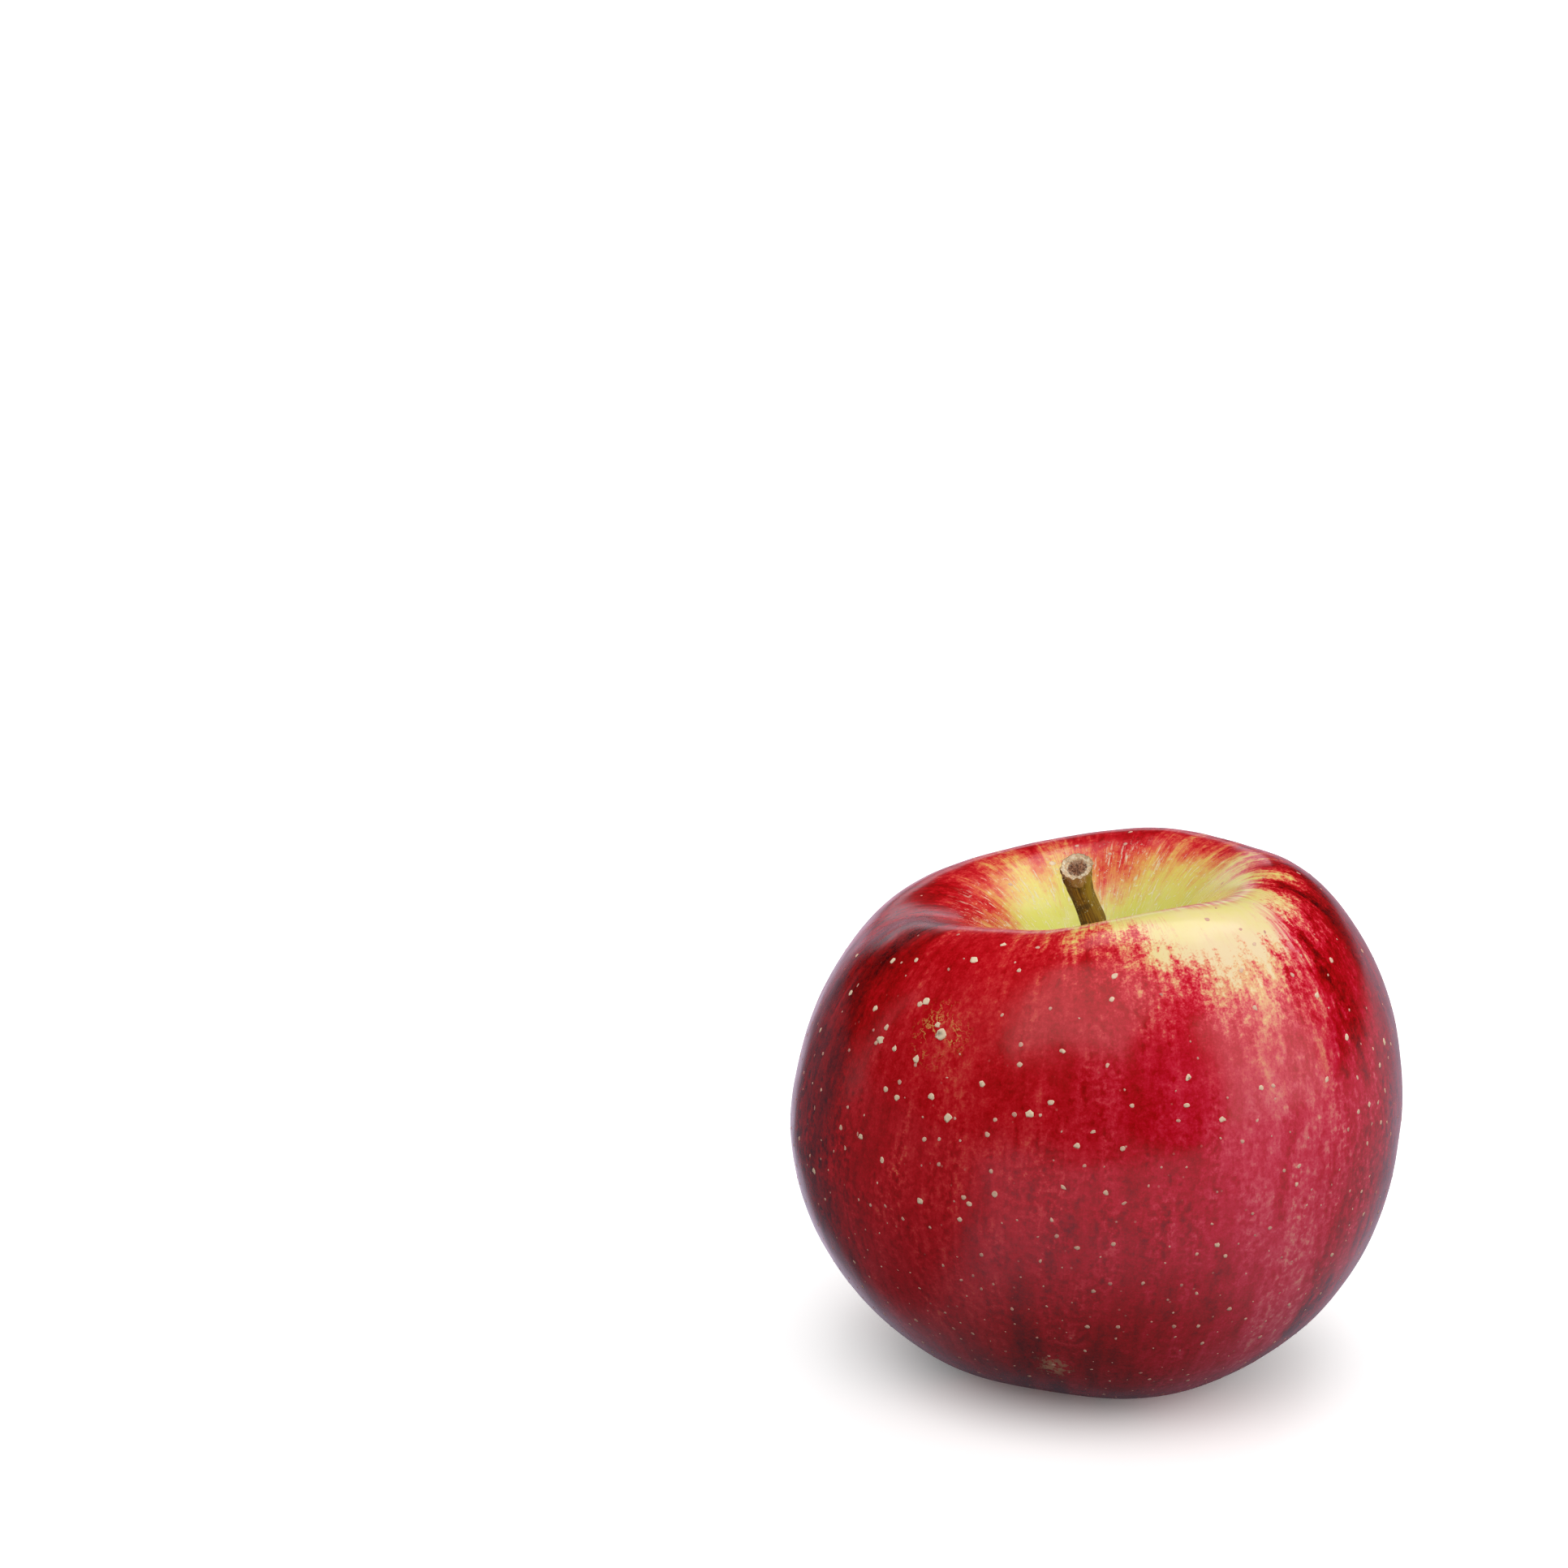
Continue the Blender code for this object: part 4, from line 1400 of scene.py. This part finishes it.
calyx = {
    "count": 5,
    "firstTurn": 18.0,
    "length": 5.6,
    "width": 2.9,
    "thickness": 0.22,
    "footRadius": 3.1,
    "footGap": 0.35,
    "lean": 22.0,
    "curl": 105.0,
    "rows": 26,
    "columns": 12,
    "cup": 0.4,
    "wrinkle": 0.10,
    "rib": 0.07,
    "ripple": 0.12,
    "dark": (0.075, 0.040, 0.018),
    "light": (0.20, 0.135, 0.065),
    "grain": 900.0,
}

stamens = {
    "count": 18,
    "steps": 12,
    "thickness": 0.075,
    "anther": 0.19,
    "reach": 4.6,
    "bend": 0.35,
    "twist": 0.5,
    "seed": 11,
    "inner": (0.45, 0.25),  # radius at the root, and how far they spread
    "outer": (1.05, -0.45),
    "dark": (0.035, 0.018, 0.010),
    "light": (0.11, 0.062, 0.030),
    "grain": 1800.0,
}

dried = {"felt": (0.42, 0.36, 0.26), "specular": 0.25, "bumpDepth": 0.00008, "bumpStrength": 0.8}


def driedMaterial(name, look):
    material, tree, shader = newMaterial(name)
    place = objectPlace(tree)
    blotches = grain(tree, place, look["grain"], 4.0, 0.65)
    felt = grain(tree, place, look["grain"] * 6.0, 2.0, 0.7)
    color = mixColor(tree, rise(tree, blotches, 0.35, 0.65), look["dark"], look["light"])
    color = mixColor(tree, rise(tree, felt, 0.55, 0.72, 0.0, 0.6), color, dried["felt"])
    roughness = rise(tree, felt, 0.3, 0.7, 0.75, 0.95)
    shader.inputs["Specular IOR Level"].default_value = dried["specular"]
    finish(tree, shader, color, roughness, felt, dried["bumpDepth"], dried["bumpStrength"])
    return material


def sepalPlaces(number):
    # rows of points from the foot of one sepal to its curled tip
    turned = math.radians(calyx["firstTurn"] + 360.0 * number / calyx["count"])
    outward = aroundAt(turned)
    across = Vector((-math.sin(turned), math.cos(turned), 0.0))
    seed = Vector((number * 7.3, number * 2.9, 0.0))
    step = calyx["length"] / calyx["rows"]
    radius = calyx["footRadius"]
    height = basinHeight(radius + 0.4) - calyx["footGap"] - 0.05
    curl = calyx["curl"] * (0.86 + 0.12 * noise.noise(seed + Vector((0.5, 0.2, 0.3))))
    places = []
    for row in range(calyx["rows"] + 1):
        along = row / calyx["rows"]
        lean = math.radians(calyx["lean"] - curl * along**2)
        if row:
            radius -= step * math.sin(lean)
            height -= step * math.cos(lean)
        taper = (1.0 - 0.92 * along**1.8) * (0.85 + 0.15 * math.sin(math.pi * along))
        halfWidth = calyx["width"] / 2 * taper
        for column in range(calyx["columns"] + 1):
            side = 2.0 * column / calyx["columns"] - 1.0
            cup = calyx["cup"] * side * side * (1.0 - along)
            crease = calyx["wrinkle"] * noise.noise(seed + Vector((side * 1.8, along * 4.0, 0.0)))
            rib = calyx["rib"] * (1.0 - min(abs(side) * 4.0, 1.0))
            reach = radius - cup + crease * min(along * 5.0, 1.0) - rib
            ripple = calyx["ripple"] * noise.noise(seed + Vector((along * 3.0, side * 2.5, 4.0)))
            up = height + ripple * min(along * 4.0, 1.0)
            places.append((outward * reach + across * halfWidth * side + Vector((0.0, 0.0, up))) * mm)
    return places


def makeSepals():
    places = []
    faces = []
    wide = calyx["columns"] + 1
    for number in range(calyx["count"]):
        start = len(places)
        places += sepalPlaces(number)
        for row in range(calyx["rows"]):
            for column in range(calyx["columns"]):
                corner = start + row * wide + column
                faces.append((corner, corner + wide, corner + wide + 1, corner + 1))
    mesh = bpy.data.meshes.new("sepalSheets")
    mesh.from_pydata(places, [], faces)
    mesh.shade_smooth()
    mesh.materials.append(driedMaterial("driedSepal", calyx))
    piece = addObject("driedSepals", mesh)
    leaf = piece.modifiers.new("leaf thickness", "SOLIDIFY")
    leaf.thickness = calyx["thickness"] * mm
    leaf.offset = 0.0
    solid = plainMesh(piece, "driedSepals")
    piece.modifiers.clear()
    piece.data = solid
    carry(piece, "sepal", *[f"sepal_{number}" for number in range(1, calyx["count"] + 1)])
    return piece


def stamenTree():
    tree, given = newTree(
        "stamens", (("Thickness", "Float"), ("Anther", "Float"), ("Seed", "Int"), ("Material", "Material"))
    )
    circle = addNode(tree, "GeometryNodeCurvePrimitiveCircle", {"Resolution": 6}, mode="RADIUS")
    plug(tree, circle.inputs["Radius"], times(tree, given["Thickness"], mm))
    lines = addNode(tree, "GeometryNodeMeshToCurve", {"Mesh": given["Geometry"]})
    threads = addNode(
        tree,
        "GeometryNodeCurveToMesh",
        {"Curve": lines.outputs[0], "Profile Curve": circle.outputs[0], "Fill Caps": True},
    )
    blob = addNode(tree, "GeometryNodeMeshIcoSphere", {"Subdivisions": 2})
    plug(tree, blob.inputs["Radius"], times(tree, given["Anther"], mm))
    tips = addNode(tree, "GeometryNodeMeshToPoints", {"Mesh": given["Geometry"]})
    plug(tree, tips.inputs["Selection"], stored(tree, "tip", "BOOLEAN"))
    sizes = chanceVector(tree, (0.7, 0.7, 1.1), (1.1, 1.1, 1.8), given["Seed"])
    anthers = addNode(
        tree,
        "GeometryNodeInstanceOnPoints",
        {"Points": tips.outputs[0], "Instance": blob.outputs[0], "Scale": sizes},
    )
    joined = addNode(tree, "GeometryNodeJoinGeometry")
    tree.links.new(threads.outputs[0], joined.inputs[0])
    tree.links.new(anthers.outputs[0], joined.inputs[0])
    endTree(tree, joined.outputs[0], given["Material"])
    return tree


def stamenPlaces(number):
    # the points of one thread, from its root down to its tip; every third one stands further in
    seed = Vector((number * 3.7, 1.3, number * 1.9))
    turned = math.tau * number / stamens["count"] + 0.5 * noise.noise(seed)
    rootRadius, spread = stamens["inner" if number % 3 == 0 else "outer"]
    length = stamens["reach"] * (0.92 + 0.2 * noise.noise(seed * 1.3))
    roof = fruit["basinDepth"] + fruit["tubeDepth"] - 0.7
    places = []
    for step in range(stamens["steps"]):
        share = step / (stamens["steps"] - 1)
        bend = stamens["bend"] * noise.noise(seed + Vector((share * 1.6, 0.0, 7.0)))
        twist = stamens["twist"] * share * noise.noise(seed + Vector((0.0, 3.0, 0.0)))
        radius = rootRadius + spread * share * share + bend * share
        places.append((aroundAt(turned + twist) * radius + Vector((0.0, 0.0, roof - length * share))) * mm)
    return places


def makeStamens():
    places = []
    edges = []
    tips = []
    for number in range(stamens["count"]):
        thread = stamenPlaces(number)
        edges += [(len(places) + step, len(places) + step + 1) for step in range(len(thread) - 1)]
        tips += [False] * (len(thread) - 1) + [True]
        places += thread
    mesh = bpy.data.meshes.new("stamenLines")
    mesh.from_pydata(places, edges, [])
    mesh.attributes.new("tip", "BOOLEAN", "POINT").data.foreach_set("value", tips)
    values = {
        "Thickness": stamens["thickness"],
        "Anther": stamens["anther"],
        "Seed": stamens["seed"],
        "Material": driedMaterial("driedStamen", stamens),
    }
    piece = grow("driedStamens", mesh, stamenTree(), values)
    carry(piece, "stamen", "stamen_tuft")
    return piece


sepalPiece = makeSepals()
stamenPiece = makeStamens()
print("calyx made:", len(sepalPiece.data.polygons) + len(stamenPiece.data.polygons), "faces")
